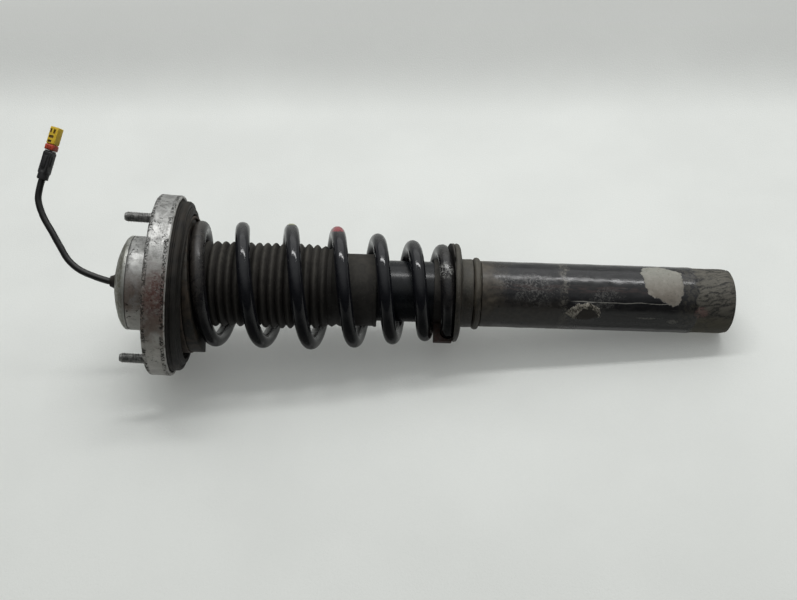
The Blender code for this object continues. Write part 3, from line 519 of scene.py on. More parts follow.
    # worn clamp area
    foot = f.span(f.noise(7.0, 4.0, 0.6) * 12.0 + z, 39.5, 36.0)
    mottled = f.span(z, 50.0, 42.0) * f.span(f.noise(3.4, 5.0, 0.66, 0.6), 0.42, 0.6)
    f.coat(mottled * 0.5, (0.085, 0.078, 0.062))
    slanted = f.joined(z * 0.3 + arc * 1.1, arc * -0.1 + z * 0.3, y * 0.05)
    streak = f.noise(4.2, 5.0, 0.66, 1.4, at=slanted)
    worn = f.mix(f.span(streak, 0.40, 0.57), (0.012, 0.011, 0.009), (0.118, 0.110, 0.090))
    worn = f.mix(f.span(grit, 0.50, 0.68, 0.0, 0.5), worn, (0.180, 0.170, 0.145))
    worn = f.mix(f.span(arc, -12.0, -20.0) * f.span(patch, 0.3, 0.6, 0.3, 0.8), worn,
                 (0.175, 0.16, 0.112))
    f.coat(foot * 0.9, worn)
    pink = (f.spot(-22.0, 28.0, 5.0, 5.5, radius, 0.7, 4.0, 0.3)
            * f.span(f.noise(2.2, 4.0, 0.65), 0.36, 0.54))
    f.coat(pink * 0.75, (0.2, 0.125, 0.11))
    rough = f.span(patch, 0.3, 0.7, 0.15, 0.22)
    rough = f.blend(f.most(soil, film), rough, 0.5)
    rough = f.blend(f.most(f.most(bare, foot), chip), rough, 0.62)
    height = (marks + hoop) * 0.12 - bare * 0.8 + rim * 1.2 + foot * streak * 0.9 + grit * 0.1
    return f.done(rough, 0.0, f.bump(height, 0.3), 0.42)


def worn_paint(name, dust=0.6, earth=0.6):
    """Black paint, scuffed grey and dusty, on the seat, the bead and the end cap; the dust on faces
    toward the key light is partly painted light.
    """
    f = Finish(name)
    patch = f.noise(6.0, 5.0, 0.65, 0.6)
    f.tones(patch, (0.009, 0.0085, 0.0075), (0.02, 0.0185, 0.016))
    soil = f.span(f.noise(9.0, 4.0, 0.6, 0.4), 0.36, 0.60, 0.3 * earth, earth)
    f.coat(soil, (0.066, 0.056, 0.042))
    # grey dust on faces toward the key light: partly dust, partly painted light
    dust_and_top_light = f.upward(UP, 0.1, 0.95) * f.span(patch, 0.28, 0.6, 0.4, 1.0)
    f.coat(dust_and_top_light * dust, (0.125, 0.12, 0.1))
    scuff = f.span(f.noise(1.4, 4.0, 0.7, 0.7), 0.56, 0.66, 0.0, 0.4)
    f.coat(scuff, (0.15, 0.145, 0.125))
    rough = f.blend(dust_and_top_light, f.span(patch, 0.3, 0.7, 0.34, 0.50), 0.7)
    height = patch + scuff * 0.4
    return f.done(rough, 0.0, f.bump(height, 0.14), 0.34)


def dusty_steel():
    """Upper spring plate: brown dust over dull steel."""
    f = Finish("plate_steel")
    patch = f.noise(7.0, 5.0, 0.65, 0.6)
    f.tones(patch, (0.05, 0.038, 0.03), (0.115, 0.091, 0.072))
    # dust on faces toward the key light: partly dust, partly painted light
    dust_and_top_light = f.upward(UP, 0.1, 1.0) * f.span(patch, 0.3, 0.6, 0.4, 1.0)
    f.coat(dust_and_top_light * 0.6, (0.15, 0.126, 0.104))
    dark = f.span(f.noise(3.0, 4.0, 0.66), 0.55, 0.68, 0.0, 0.6)
    f.coat(dark, (0.02, 0.017, 0.015))
    return f.done(0.78, 0.15, f.bump(patch, 0.15))


def plastic(name, dark, light, rough=0.42, size=4.0, grime=0.25, attribute=True):
    """Moulded plastic with faint grime."""
    f = Finish(name, attribute)
    patch = f.noise(size, 4.0, 0.6, 0.4)
    f.tones(patch, dark, light)
    soil = f.span(f.noise(1.5, 4.0, 0.68), 0.55, 0.70, 0.0, grime)
    f.coat(soil, (0.06, 0.05, 0.04))
    height = f.noise(0.35, 2.0, 0.5) + patch * 0.6
    return f.done(f.span(patch, 0.3, 0.7, rough - 0.06, rough + 0.08), 0.0, f.bump(height, 0.05))


def housing_finish():
    """Yellow plastic of the plug, with painted shade inside its recesses."""
    f = Finish("housing_plastic")
    x, y, _ = f.axes()
    patch = f.noise(4.0, 4.0, 0.6, 0.4)
    f.tones(patch, (0.72, 0.47, 0.016), (0.9, 0.64, 0.05))
    soil = f.span(f.noise(1.5, 4.0, 0.68), 0.55, 0.70, 0.0, 0.25)
    f.coat(soil, (0.22, 0.12, 0.03))
    # painted shade: dark brown inside the recesses of the -Y face
    recess_shade = f.span(y, -3.85, -3.45) * f.span(abs(x), 3.3, 3.0) * f.span(y, 0.0, -1.0)
    f.coat(recess_shade * 0.85, (0.085, 0.028, 0.008))
    height = patch * 0.6 + f.noise(0.35, 2.0, 0.5)
    return f.done(0.38, 0.0, f.bump(height, 0.05))


def machined(name, dark, light, rough=0.28, metal=1.0, pitch=0.25):
    """Turned metal of the inside pieces, with fine lathe rings."""
    f = Finish(name, attribute=False)
    z = f.axes()[2]
    rings = f.math("SINE", z * (math.tau / pitch))
    patch = f.noise(6.0, 4.0, 0.6, 0.5)
    f.tones(patch, dark, light)
    height = rings * 0.15 + patch
    return f.done(f.span(patch, 0.3, 0.7, rough - 0.08, rough + 0.12), metal, f.bump(height, 0.03))


def foam_finish():
    """Closed-cell foam of the bump stop."""
    f = Finish("bump_foam_cells", attribute=False)
    cells = f.noise(0.8, 4.0, 0.7)
    patch = f.noise(8.0, 3.0)
    f.tones(patch, (0.34, 0.29, 0.16), (0.48, 0.42, 0.25))
    f.coat(f.span(cells, 0.55, 0.7, 0.0, 0.4), (0.2, 0.16, 0.09))
    return f.done(0.85, 0.0, f.bump(cells, 0.3), 0.3)


def winding_finish():
    """Lacquered copper wire, one turn beside the next."""
    f = Finish("copper_turns", attribute=False)
    z = f.axes()[2]
    wave = abs(f.math("SINE", z * (math.pi / 0.6)))
    patch = f.noise(5.0, 3.0)
    f.tones(patch, (0.42, 0.16, 0.07), (0.62, 0.27, 0.13))
    # painted shade in the grooves between the turns
    f.coat(f.span(wave, 0.35, 0.0, 0.0, 0.8), (0.1, 0.035, 0.015))
    return f.done(0.3, 0.9, f.bump(wave, 0.3))


def cable_finish():
    """Black sheath with faint dust, partly painted light on faces toward the key light."""
    f = Finish("cable_sheath_rubber")
    patch = f.noise(5.0, 4.0, 0.6, 0.4)
    f.tones(patch, (0.006, 0.006, 0.006), (0.013, 0.013, 0.012))
    # grey dust on faces toward the key light: partly dust, partly painted light
    dust_and_top_light = f.upward(UP, 0.3, 1.0) * f.span(patch, 0.3, 0.6, 0.3, 0.9)
    f.coat(dust_and_top_light * 0.18, (0.1, 0.1, 0.095))
    return f.done(f.blend(dust_and_top_light, 0.32, 0.5), 0.0, f.bump(patch, 0.08), 0.45)


def table_finish(shade, normal, offset, away, foot):
    """Pale matt sheet, only there for rays that meet its upper face, glowing where it rises."""
    f = Finish("table_paper", attribute=False)
    fine = f.noise(1.6, 4.0, 0.7)
    f.tones(f.noise(160.0, 3.0), tuple(0.93 * c for c in shade), shade)
    f.coat(f.span(fine, 0.35, 0.75, 0.0, 0.10), tuple(0.80 * c for c in shade))
    # painted shade: the sheet darker towards the camera's side
    depth = f.dot(f.at, away) - away.dot(foot)
    f.coat(f.span(depth, -330.0, -1000.0, 0.0, 0.38), (0.30, 0.30, 0.27))
    f.done(0.75, 0.0, f.bump(fine, 0.25), 0.25)
    f.put(f.shader.inputs["Emission Color"], shade)
    glow = f.span(f.dot(f.at, normal), offset + 2.0, offset + 100.0, *GLOW)
    f.put(f.shader.inputs["Emission Strength"], glow)
    geometry = "ShaderNodeNewGeometry"
    below = f.math("LESS_THAN", f.dot(f.out(geometry, "Incoming"), normal), -0.3)
    hidden = f.most(f.out(geometry, "Backfacing"), below)
    mirrored = f.out("ShaderNodeLightPath", "Is Glossy Ray")
    layers = (f.most(hidden, mirrored * FAINTER), Value(f, f.shader.outputs[0]),
              f.out("ShaderNodeBsdfTransparent", 0))
    f.put(f.tree.nodes["Material Output"].inputs["Surface"],
          f.out("ShaderNodeMixShader", 0, enumerate(layers)))
    return f.mat


# ---- meshes


def stamp(mesh, place):
    """Writes the attribute "rest": the mesh's points in the piece's own frame, in mm."""
    back = place.inverted()
    old = mesh.attributes.get("rest")
    if old is not None:
        mesh.attributes.remove(old)
    rest = mesh.attributes.new("rest", "FLOAT_VECTOR", "POINT")
    values = []
    for vert in mesh.vertices:
        values.extend(back @ (vert.co / MM))
    rest.data.foreach_set("vector", values)


def make(name, points, faces, place=ROW, crease=38.0):
    """Mesh object from points in mm in the frame place, outward normals, smooth by angle."""
    mesh = bpy.data.meshes.new(name)
    mesh.from_pydata([(place @ Vector(p)) * MM for p in points], [], faces)
    bm = bmesh.new()
    bm.from_mesh(mesh)
    bmesh.ops.recalc_face_normals(bm, faces=bm.faces)
    bm.to_mesh(mesh)
    bm.free()
    return settle(bpy.data.objects.new(name, mesh), place, crease)


def settle(obj, place=ROW, crease=38.0):
    """Links a finished mesh object, shades it and writes its rest points."""
    if obj.name not in bpy.context.scene.collection.objects:
        bpy.context.scene.collection.objects.link(obj)
    obj.data.shade_smooth()
    obj.data.set_sharp_from_angle(angle=math.radians(crease))
    stamp(obj.data, place)
    return obj


def dress(obj, finish, node, body=None):
    """Gives a piece its finish and its body, and hides the CAD node it stands for."""
    obj.data.materials.clear()
    obj.data.materials.append(finish)
    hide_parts(node)
    if body is not None:
        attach(obj, body)


def slice_of(node, place=ROW):
    """Profile (radius, height) of a turned CAD node, read off its mesh on the +X half plane.

    Returns the points in order and whether they close on themselves.
    """
    mesh = frame["nodes"][node].data
    back = place.inverted()
    seen, index, points = {}, [], []
    for vert in mesh.vertices:
        p = back @ (vert.co / MM)
        key = (round(p.x, 2), round(p.y, 2), round(p.z, 2))
        if key not in seen:
            seen[key] = len(points)
            points.append(p)
        index.append(seen[key])

    def on_axis(i):
        return math.hypot(points[i].x, points[i].y) < 0.03

    def on_slice(i):
        return on_axis(i) or (points[i].x > 0.0 and abs(points[i].y) < 0.03)

    links = {}
    for edge in mesh.edges:
        a, b = (index[v] for v in edge.vertices)
        if a != b and on_slice(a) and on_slice(b) and not (on_axis(a) and on_axis(b)):
            links.setdefault(a, set()).add(b)
            links.setdefault(b, set()).add(a)
    ends = [i for i in links if on_axis(i)]
    start = ends[0] if ends else min(links)
    path, last, here = [start], None, start
    while True:
        onward = [i for i in sorted(links[here]) if i != last and i not in path[1:]]
        if not onward or onward[0] == start:
            break
        last, here = here, onward[0]
        path.append(here)
    profile = [(math.hypot(points[i].x, points[i].y), points[i].z) for i in path]
    return profile, not ends


def soften(profile, radius, closed, steps=4, sharp=None):
    """Rounds a profile's corners with short arcs of about the given radius.

    Corners whose (radius, height) satisfies sharp are left as they are.
    """
    count = len(profile)
    result = []
    for i, here in enumerate(profile):
        if not closed and i in (0, count - 1):
            result.append(here)
            continue
        p = Vector(here)
        a, b = Vector(profile[i - 1]) - p, Vector(profile[(i + 1) % count]) - p
        if a.length < 1e-6 or b.length < 1e-6:
            continue
        turn = math.pi - a.angle(b)
        if turn < math.radians(6.0) or (sharp is not None and sharp(*here)):
            result.append(here)
            continue
        back = min(radius * math.tan(0.5 * turn), 0.46 * a.length, 0.46 * b.length)
        first, last = p + a.normalized() * back, p + b.normalized() * back
        for k in range(steps + 1):
            t = k / steps
            q = first * (1 - t) ** 2 + p * (2 * t * (1 - t)) + last * t * t
            result.append((q.x, q.y))
    return result


def fill_in(profile, closed, spacing):
    """Adds points so that no stretch of the profile is longer than spacing."""
    result = []
    pairs = list(zip(profile, profile[1:] + profile[:1]))
    if not closed:
        pairs.pop()
    for a, b in pairs:
        pieces = max(1, math.ceil(math.dist(a, b) / spacing))
        result += [(a[0] + (b[0] - a[0]) * k / pieces, a[1] + (b[1] - a[1]) * k / pieces)
                   for k in range(pieces)]
    if not closed:
        result.append(profile[-1])
    return result


def skin(rows, closed=False):
    """Faces between rings of points, given as lists of indices of equal length."""
    faces = []
    pairs = list(zip(rows, rows[1:] + rows[:1]))
    if not closed:
        pairs.pop()
    for here, there in pairs:
        for k in range(len(here)):
            j = (k + 1) % len(here)
            face = tuple(dict.fromkeys((here[k], here[j], there[j], there[k])))
            if len(face) > 2:
                faces.append(face)
    return faces


def revolve(name, profile, closed, sides, place=ROW, warp=None, crease=38.0):
    """Mesh turned about the piece's Z axis; warp moves each point."""
    points, rows = [], []
    for r, z in profile:
        if r < 0.03:
            rows.append([len(points)] * sides)
            points.append(Vector((0.0, 0.0, z)))
        else:
            rows.append(list(range(len(points), len(points) + sides)))
            points += [Vector((r * math.cos(math.tau * k / sides),
                               r * math.sin(math.tau * k / sides), z)) for k in range(sides)]
    if warp is not None:
        points = [warp(p) for p in points]
    return make(name, points, skin(rows, closed), place, crease)


def fine_copy(name, node, finish, body, radius, sides, spacing=6.0, warp=None, place=ROW,
              crease=38.0):
    """A turned CAD node again, finer: rounded corners, more sides."""
    profile, closed = slice_of(node, place)
    profile = fill_in(soften(profile, radius, closed), closed, spacing)
    obj = revolve(name, profile, closed, sides, place, warp, crease)
    dress(obj, finish, node, body)


def dented(amount, size, seed=0.0):
    """Warp that moves points a little by smooth noise."""
    offset = Vector((seed, 2.0 * seed, 3.0 * seed))

    def warp(p):
        return p + noise.noise_vector(p / size + offset) * amount
    return warp


def sweep(name, line, radius, sides, round_ends=0.0):
    """Round bar along a line of points, with caps whose corners are rounded."""
    line = [Vector(p) for p in line]
    radii = [radius] * len(line)
    if round_ends > 0.0:
        for end, inner in ((0, 1), (-1, -2)):
            out = (line[end] - line[inner]).normalized()
            tip = line[end].copy()
            extra = [(tip - out * round_ends * (1 - math.sin(a)),
                      radius - round_ends * (1 - math.cos(a)))
                     for a in (0.4, 0.9, math.pi / 2)]
            line[end] = tip - out * round_ends
            if end == 0:
                line = [p for p, _ in reversed(extra)] + line
                radii = [r for _, r in reversed(extra)] + radii
            else:
                line += [p for p, _ in extra]
                radii += [r for _, r in extra]
    points, rows = [], []
    side = None
    for i, p in enumerate(line):
        ahead = (line[min(i + 1, len(line) - 1)] - line[max(i - 1, 0)]).normalized()
        if side is None:
            side = ahead.orthogonal()
        side = (side - ahead * side.dot(ahead)).normalized()
        other = ahead.cross(side)
        rows.append(list(range(len(points), len(points) + sides)))
        for k in range(sides):
            a = math.tau * k / sides
            points.append(p + (side * math.cos(a) + other * math.sin(a)) * radii[i])
    faces = skin(rows)
    for row in (rows[0], rows[-1]):
        middle = len(points)
        points.append(sum((points[k] for k in row), Vector()) / sides)
        faces += [(row[k], row[(k + 1) % sides], middle) for k in range(sides)]
    return make(name, points, faces)


def loft(name, sections):
    """Solid through closed sections of equal length, capped at both ends."""
    count = len(sections[0])
    points = [p for section in sections for p in section]
    rows = [list(range(i * count, (i + 1) * count)) for i in range(len(sections))]
    faces = skin(rows) + [tuple(rows[0]), tuple(reversed(rows[-1]))]
    return make(name, points, faces)


def cylinder(radius, low, high, at, place):
    """Throw-away tool for cutting holes."""
    profile = [(0.0, low), (radius, low), (radius, high), (0.0, high)]
    return revolve("tool", profile, False, 48, place @ Matrix.Translation((*at, 0.0)))


def block(low, high, place, bevel=0.0):
    """Box between two corners, with rounded edges if asked."""
    xs, ys, zs = zip(low, high)
    points = [(x, y, z) for x in xs for y in ys for z in zs]
    faces = [(0, 1, 3, 2), (4, 6, 7, 5), (0, 4, 5, 1), (2, 3, 7, 6), (0, 2, 6, 4), (1, 5, 7, 3)]
    obj = make("tool", points, faces, place)
    if bevel > 0.0:
        mod = obj.modifiers.new("rounded", "BEVEL")
        mod.width = bevel * MM
        mod.segments = 3
        apply_modifiers(obj)
    return obj


def apply_modifiers(obj):
    """Makes a piece's modifiers part of its mesh."""
    depsgraph = bpy.context.evaluated_depsgraph_get()
    mesh = bpy.data.meshes.new_from_object(obj.evaluated_get(depsgraph), depsgraph=depsgraph)
    obj.modifiers.clear()
    obj.data = mesh


def combine(obj, tools, kind, place=ROW, crease=38.0):
    """Cuts the tools out of a piece, or joins them on, and throws them away."""
    for tool in tools:
        mod = obj.modifiers.new("tool", "BOOLEAN")
        mod.operation = kind
        mod.object = tool
        mod.solver = "EXACT"
    apply_modifiers(obj)
    for tool in tools:
        bpy.data.objects.remove(tool)
    settle(obj, place, crease)


# ---- spring line, as in the CAD

WIRE_R = 5.9
SPRING_R = (33.8, 46.7)
TAPER_Z = (222.0, 352.0)
SHIFT, SHIFT_Z = 1.1, (270.0, 330.0)
CREST_Z = 442.2
TURNS = (-0.45, 6.72)
PITCH = ((-0.45, 2.0), (-0.20, 4.0), (0.05, 27.0), (0.50, 33.0), (0.80, 40.6),
         (2.07, 40.6), (6.00, 22.4), (6.60, 0.0))


def smoothstep(low, high, x):
    t = min(1.0, max(0.0, (x - low) / (high - low)))
    return t * t * (3.0 - 2.0 * t)


def spring_pitch(turn):
    if turn <= PITCH[0][0]:
        return PITCH[0][1]
    for (t0, p0), (t1, p1) in zip(PITCH, PITCH[1:]):
        if turn <= t1:
            return p0 + (p1 - p0) * (turn - t0) / (t1 - t0)
    return PITCH[-1][1]


def spring_height(turn, steps=60):
    width = turn / steps
    return CREST_Z - sum(spring_pitch((i + 0.5) * width) for i in range(steps)) * width


def spring_point(turn):
    z = spring_height(turn)
    radius = SPRING_R[0] + (SPRING_R[1] - SPRING_R[0]) * smoothstep(*TAPER_Z, z)
    angle = -math.tau * turn
    return Vector((radius * math.cos(angle) + SHIFT * smoothstep(*SHIFT_Z, z),
                   radius * math.sin(angle), z))


def spring_line(first, last, per_turn):
    count = math.ceil((last - first) * per_turn)
    return [spring_point(first + (last - first) * i / count) for i in range(count + 1)]


def stretch(obj):
    """Bakes a piece's placement into its mesh."""
    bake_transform(obj)


def build_spring():
    line = spring_line(*TURNS, 56)
    sides = 24
    obj = sweep("spring_coil", line, WIRE_R, sides, round_ends=1.2)
    dress(obj, spring_finish(), "coil_spring")
    stretch(obj)


# ---- gaiter


def build_gaiter():
    shift, fold_foot, collar_top = 1.45, 330.0, 318.0

    def warp(p):
        p = p.copy()
        p.x += shift * smoothstep(collar_top, fold_foot, p.z)
        sway = noise.noise(Vector((p.x, p.y, p.z)) / 30.0) * 0.5
        return p + Vector((p.x, p.y, 0.0)).normalized() * sway * smoothstep(318.0, 326.0, p.z)

    profile, closed = slice_of("dust_gaiter")
    profile = soften(profile, 2.2, closed, 5, lambda r, z: z > 318.6 and r < 34.0)
    profile = fill_in(profile, closed, 8.0)
    obj = revolve("gaiter_bellows", profile, closed, 112, ROW, warp, 60.0)
    dress(obj, gaiter_finish(), "dust_gaiter")
    stretch(obj)


# ---- pads


def ramp_sections(first, last, count, corners_of, corner=0.7):
    """Sections of a helical rubber pad with rounded corners."""
    sections = []
    for i in range(count + 1):
        turn = first + (last - first) * i / count
        angle = -math.tau * turn
        section = soften(corners_of(turn), corner, True, 3)
        sections.append([(r * math.cos(angle), r * math.sin(angle), z) for r, z in section])
    return sections


def build_upper_pad():
    inner, outer, bulge = 39.5, 54.5, 56.4
    plate_low = node_box("spring_plate")[0].z
    top = node_box("upper_spring_pad")[1].z
    ledge = plate_low - 0.3

    def corners(turn):
        bottom = max(436.3, spring_height(max(turn, TURNS[0])) + WIRE_R + 0.6)
        edge = bulge if bottom < ledge - 0.6 else outer + 0.1
        step = max(ledge, bottom + 0.3)
        return [(inner, bottom), (edge, bottom), (edge, step), (outer, step), (outer, top),
                (inner, top)]

    obj = loft("spring_pad_upper", ramp_sections(-0.48, 0.50, 110, corners))
    dress(obj, rubber_finish("upper_pad_rubber", 0.6, 0.9), "upper_spring_pad", "spring_seat")


def build_lower_pad():
    low, high = node_box("lower_spring_pad")
    rim = node_box("lower_spring_seat")[1].z
    inner, sleeve, core, lip, thick = 25.8, 27.4, 37.8, 41.4, 42.6
    floor, ledge, ramp_top, sleeve_top = low.z, rim + 0.3, 246.3, high.z

    def corners(turn):
        ramp = min(ramp_top, spring_height(turn) - WIRE_R - 0.9)
        outer = thick + (lip - thick) * smoothstep(5.62, 5.80, turn)
        if ramp < ledge + 0.6:
            outer = core + 0.1
        step = min(ledge, ramp - 0.3)
        return [(inner, floor), (core, floor), (core, step), (outer, step), (outer, ramp),
                (sleeve, ramp), (sleeve, sleeve_top), (inner, sleeve_top)]

    obj = loft("spring_pad_lower", ramp_sections(5.45, 6.43, 110, corners, 0.6))
    channel = sweep("tool", spring_line(6.34, 6.84, 60), WIRE_R + 0.5, 24)
    combine(obj, [channel], "DIFFERENCE")
    dress(obj, lower_pad_finish(), "lower_spring_pad", "damper_body")


# ---- top mount

STUD_CIRCLE_R, FIRST_STUD_DEG = 66.0, 82.3
STUD_TURNS = [math.radians(FIRST_STUD_DEG + 120.0 * k) for k in range(3)]
STUD_AT = [(STUD_CIRCLE_R * math.cos(a), STUD_CIRCLE_R * math.sin(a)) for a in STUD_TURNS]


def build_flange():
    profile, closed = slice_of("mount_housing", MOUNT)
    profile = fill_in(soften(profile, 0.7, closed, 4, lambda r, z: z > 490.0), closed, 2.6)
    cast, fine = dented(0.22, 9.0, 3.1), dented(0.10, 2.4, 7.7)

    def rough_below(p):
        """Rough casting everywhere but at the cup's machined rim."""
        return fine(cast(p)).lerp(p, smoothstep(486.0, 494.0, p.z))

    obj = revolve("flange_casting", profile, closed, 200, MOUNT, rough_below, 50.0)
    tools = [cylinder(4.35, 469.0, 480.5, at, MOUNT) for at in STUD_AT]
    combine(obj, tools, "DIFFERENCE", MOUNT, 50.0)
    dress(obj, flange_finish(), "mount_housing", "top_mount")


def build_studs():
    """M8 studs with a flat round head and a rolled thread above the flange."""
    radius, depth, pitch = 4.0, 0.62, 1.25
    head_z, head_r, high = 467.4, 5.4, 500.5
    start, end, slack = 480.2, 499.6, 0.1
    shank = radius - 0.05

    def thread(p):
        """Cuts the thread into the plain bar between its start and its end."""
        if not start - slack < p.z < end + slack:
            return p
        phase = (p.z / pitch - math.atan2(p.y, p.x) / math.tau) % 1.0
        cut = min(1.0, max(0.0, 1.35 - 3.2 * abs(phase - 0.5)))
        fade = smoothstep(start, start + 1.5, p.z)
        taper = 0.75 * smoothstep(end - 1.4, end, p.z)
        scale = 1.0 - (depth * (1.0 - cut) * fade + taper * cut) / radius
        return Vector((p.x * scale, p.y * scale, p.z))

    count = round((end - start) / pitch * 8)
    profile = [(0.0, head_z), (head_r - 0.3, head_z), (head_r, head_z + 0.3), (head_r, 470.0),
               (shank, 470.2), (shank, 479.2)]
    profile += [(radius, start + (end - start) * i / count) for i in range(count + 1)]
    profile += [(3.05, high - 0.35), (2.7, high), (0.0, high)]
    finish = zinc_finish("stud_plating")
    for k, at in enumerate(STUD_AT):
        place = MOUNT @ Matrix.Translation((*at, 0.0))
        obj = revolve(f"threaded_stud_{k + 1}", profile, False, 36, place, thread, 50.0)
        dress(obj, finish, f"mount_stud_{k + 1}", "top_mount")


def build_seal():
    """Stepped rubber shroud in the flange's recess."""
    profile = [(60.6, 466.9), (71.6, 466.9), (71.6, 461.2), (71.3, 458.9), (70.2, 458.3),
               (70.1, 457.5), (70.9, 456.9), (70.7, 454.6), (69.6, 453.0), (67.7, 452.4),
               (67.2, 453.1), (66.6, 453.0), (66.1, 452.2), (65.0, 451.8), (64.4, 450.5),
               (63.2, 450.0), (62.6, 450.8), (62.0, 450.1), (61.2, 450.0), (60.6, 450.8)]
    profile = fill_in(soften(profile, 0.5, True, 3), True, 6.0)
    obj = revolve("seal_ring", profile, True, 144, MOUNT, dented(0.25, 22.0, 5.0), 45.0)
    dress(obj, rubber_finish("seal_rubber", 0.10, 0.22, size=9.0), "dust_seal", "top_mount")


def build_cap():
    dent = dented(0.15, 12.0, 9.0)

    def warp(p):
        return p.lerp(dent(p), smoothstep(499.0, 505.0, p.z))

    profile, closed = slice_of("top_cap", MOUNT)
    flush = 39.3 / 38.7
    profile = [(r * flush, z - 0.6 * (z < 499.0)) if r > 37.9 and z > 498.0
               else (r, z) for r, z in profile]
    profile = soften(profile, 2.2, closed, 5, lambda r, z: r > 30.0 and z < 499.5)
    obj = revolve("cap_dome", fill_in(profile, closed, 3.0), closed, 144, MOUNT, warp, 45.0)
    dress(obj, cup_finish(), "top_cap", "top_mount")
    boot = rubber_finish("boot_rubber", 0.3, 0.3)
    fine_copy("cable_boot", "cable_grommet", boot, "top_mount", 0.5, 64, 3.0, place=MOUNT,
              crease=50.0)


# ---- cable and connector


def catmull(points, per_span):
    line = []
    ends = [2 * points[0] - points[1]] + points + [2 * points[-1] - points[-2]]
    for a, b, c, d in zip(ends, ends[1:], ends[2:], ends[3:]):
        for i in range(per_span):
            t = i / per_span
            line.append(0.5 * (2 * b + (c - a) * t + (2 * a - 5 * b + 4 * c - d) * t * t
                               + (3 * b - a - 3 * c + d) * t * t * t))
    line.append(points[-1])
    return line


def build_cable():
    foot = CONNECTOR.translation
    along = (CONNECTOR.to_3x3() @ Vector((0.0, 0.0, 1.0))).normalized()
    inside = [Vector((0.0, 0.0, z)) for z in (275.6, 345.0, 415.0, 478.0, 487.0)]
    outlet = [MOUNT @ Vector((0.0, 0.0, z)) for z in (503.0, 510.0, 517.5)]
    free = [Vector((x, -3.0, z)) for x, z in
            ((3.6, 529.0), (9.0, 542.5), (17.0, 552.4), (28.0, 559.6), (40.0, 566.8),
             (52.6, 574.4), (66.0, 579.0))]
    plug = [foot - 6.0 * along, foot + 4.0 * along, foot + 15.0 * along]
    obj = sweep("valve_cable", catmull(inside + outlet + free + plug, 10), 2.8, 24,
                round_ends=0.5)
    dress(obj, cable_finish(), "damper_cable", "top_mount")


def build_connector():
    black = plastic("backshell_plastic", (0.007, 0.007, 0.008), (0.017, 0.017, 0.018), 0.42)
    red = plastic("lock_plastic", (0.34, 0.032, 0.014), (0.55, 0.068, 0.028), 0.40, 3.0, 0.35)

    def bar(half, low, high, bevel=0.0):
        """Square bar along the plug's axis."""
        return block((-half, -half, low), (half, half, high), CONNECTOR, bevel)

    def slab(low, high, bevel=0.0):
        return block(low, high, CONNECTOR, bevel)

    shell = bar(4.15, 5.0, 24.2, 1.2)
    shell.name = "plug_backshell"
    relief = revolve("tool", soften([(0.0, 0.3), (4.3, 0.3), (4.7, 1.0), (4.7, 6.2), (4.2, 8.0),
                                     (0.0, 8.0)], 0.4, False), False, 48, CONNECTOR)
    nose = bar(3.35, 22.0, 25.2, 0.3)
    latch = slab((-1.6, -4.9, 9.5), (1.6, -3.6, 20.5), 0.4)
    latch_side = slab((3.6, -1.5, 12.0), (4.8, 1.5, 21.0), 0.4)
    combine(shell, [relief, nose, latch, latch_side], "UNION", CONNECTOR)
    bore = cylinder(3.1, -1.0, 18.0, (0.0, 0.0), CONNECTOR)
    ribs = [slab((-5.0, -5.0, z), (5.0, -3.95, z + 0.6)) for z in (21.2, 22.6)]
    combine(shell, [bore] + ribs, "DIFFERENCE", CONNECTOR)
    dress(shell, black, "connector_backshell", "top_mount")

    lock = bar(4.2, 25.5, 30.3, 0.9)
    lock.name = "plug_lock"
    tab = slab((-1.9, -4.75, 26.2), (1.9, -3.9, 29.6), 0.35)
    combine(lock, [tab], "UNION", CONNECTOR)
    opening = bar(3.45, 24.0, 32.0)
    grips = [slab((-1.4, -5.2, z), (1.4, -4.45, z + 0.5)) for z in (27.0, 28.2)]
    combine(lock, [opening] + grips, "DIFFERENCE", CONNECTOR)
    dress(lock, red, "connector_lock", "connector_lock")

    housing = bar(3.95, 30.6, 45.3, 0.8)
    housing.name = "plug_housing"
    neck = bar(3.1, 25.5, 32.0, 0.2)
    key_rib = slab((3.6, -4.35, 31.4), (4.35, -3.2, 44.6), 0.25)
    combine(housing, [neck, key_rib], "UNION", CONNECTOR)
    cuts = [bar(2.8, 37.0, 47.0)]
    cuts += [cylinder(0.9, 32.0, 38.0, (x, 0.0), CONNECTOR) for x in (-1.3, 1.3)]
    cuts += [slab((-2.9, -5.0, 31.8), (0.6, -2.7, 33.9), 0.15),
             slab((-2.9, -5.0, 35.6), (1.6, -3.0, 37.9), 0.15),
             slab((0.0, -5.0, 39.6), (2.1, -3.0, 43.2), 0.15),
             slab((-3.0, -5.0, 40.0), (-1.5, -3.1, 43.4), 0.15)]
    combine(housing, cuts, "DIFFERENCE", CONNECTOR)
    dress(housing, housing_finish(), "connector_housing", "top_mount")


# ---- damper body


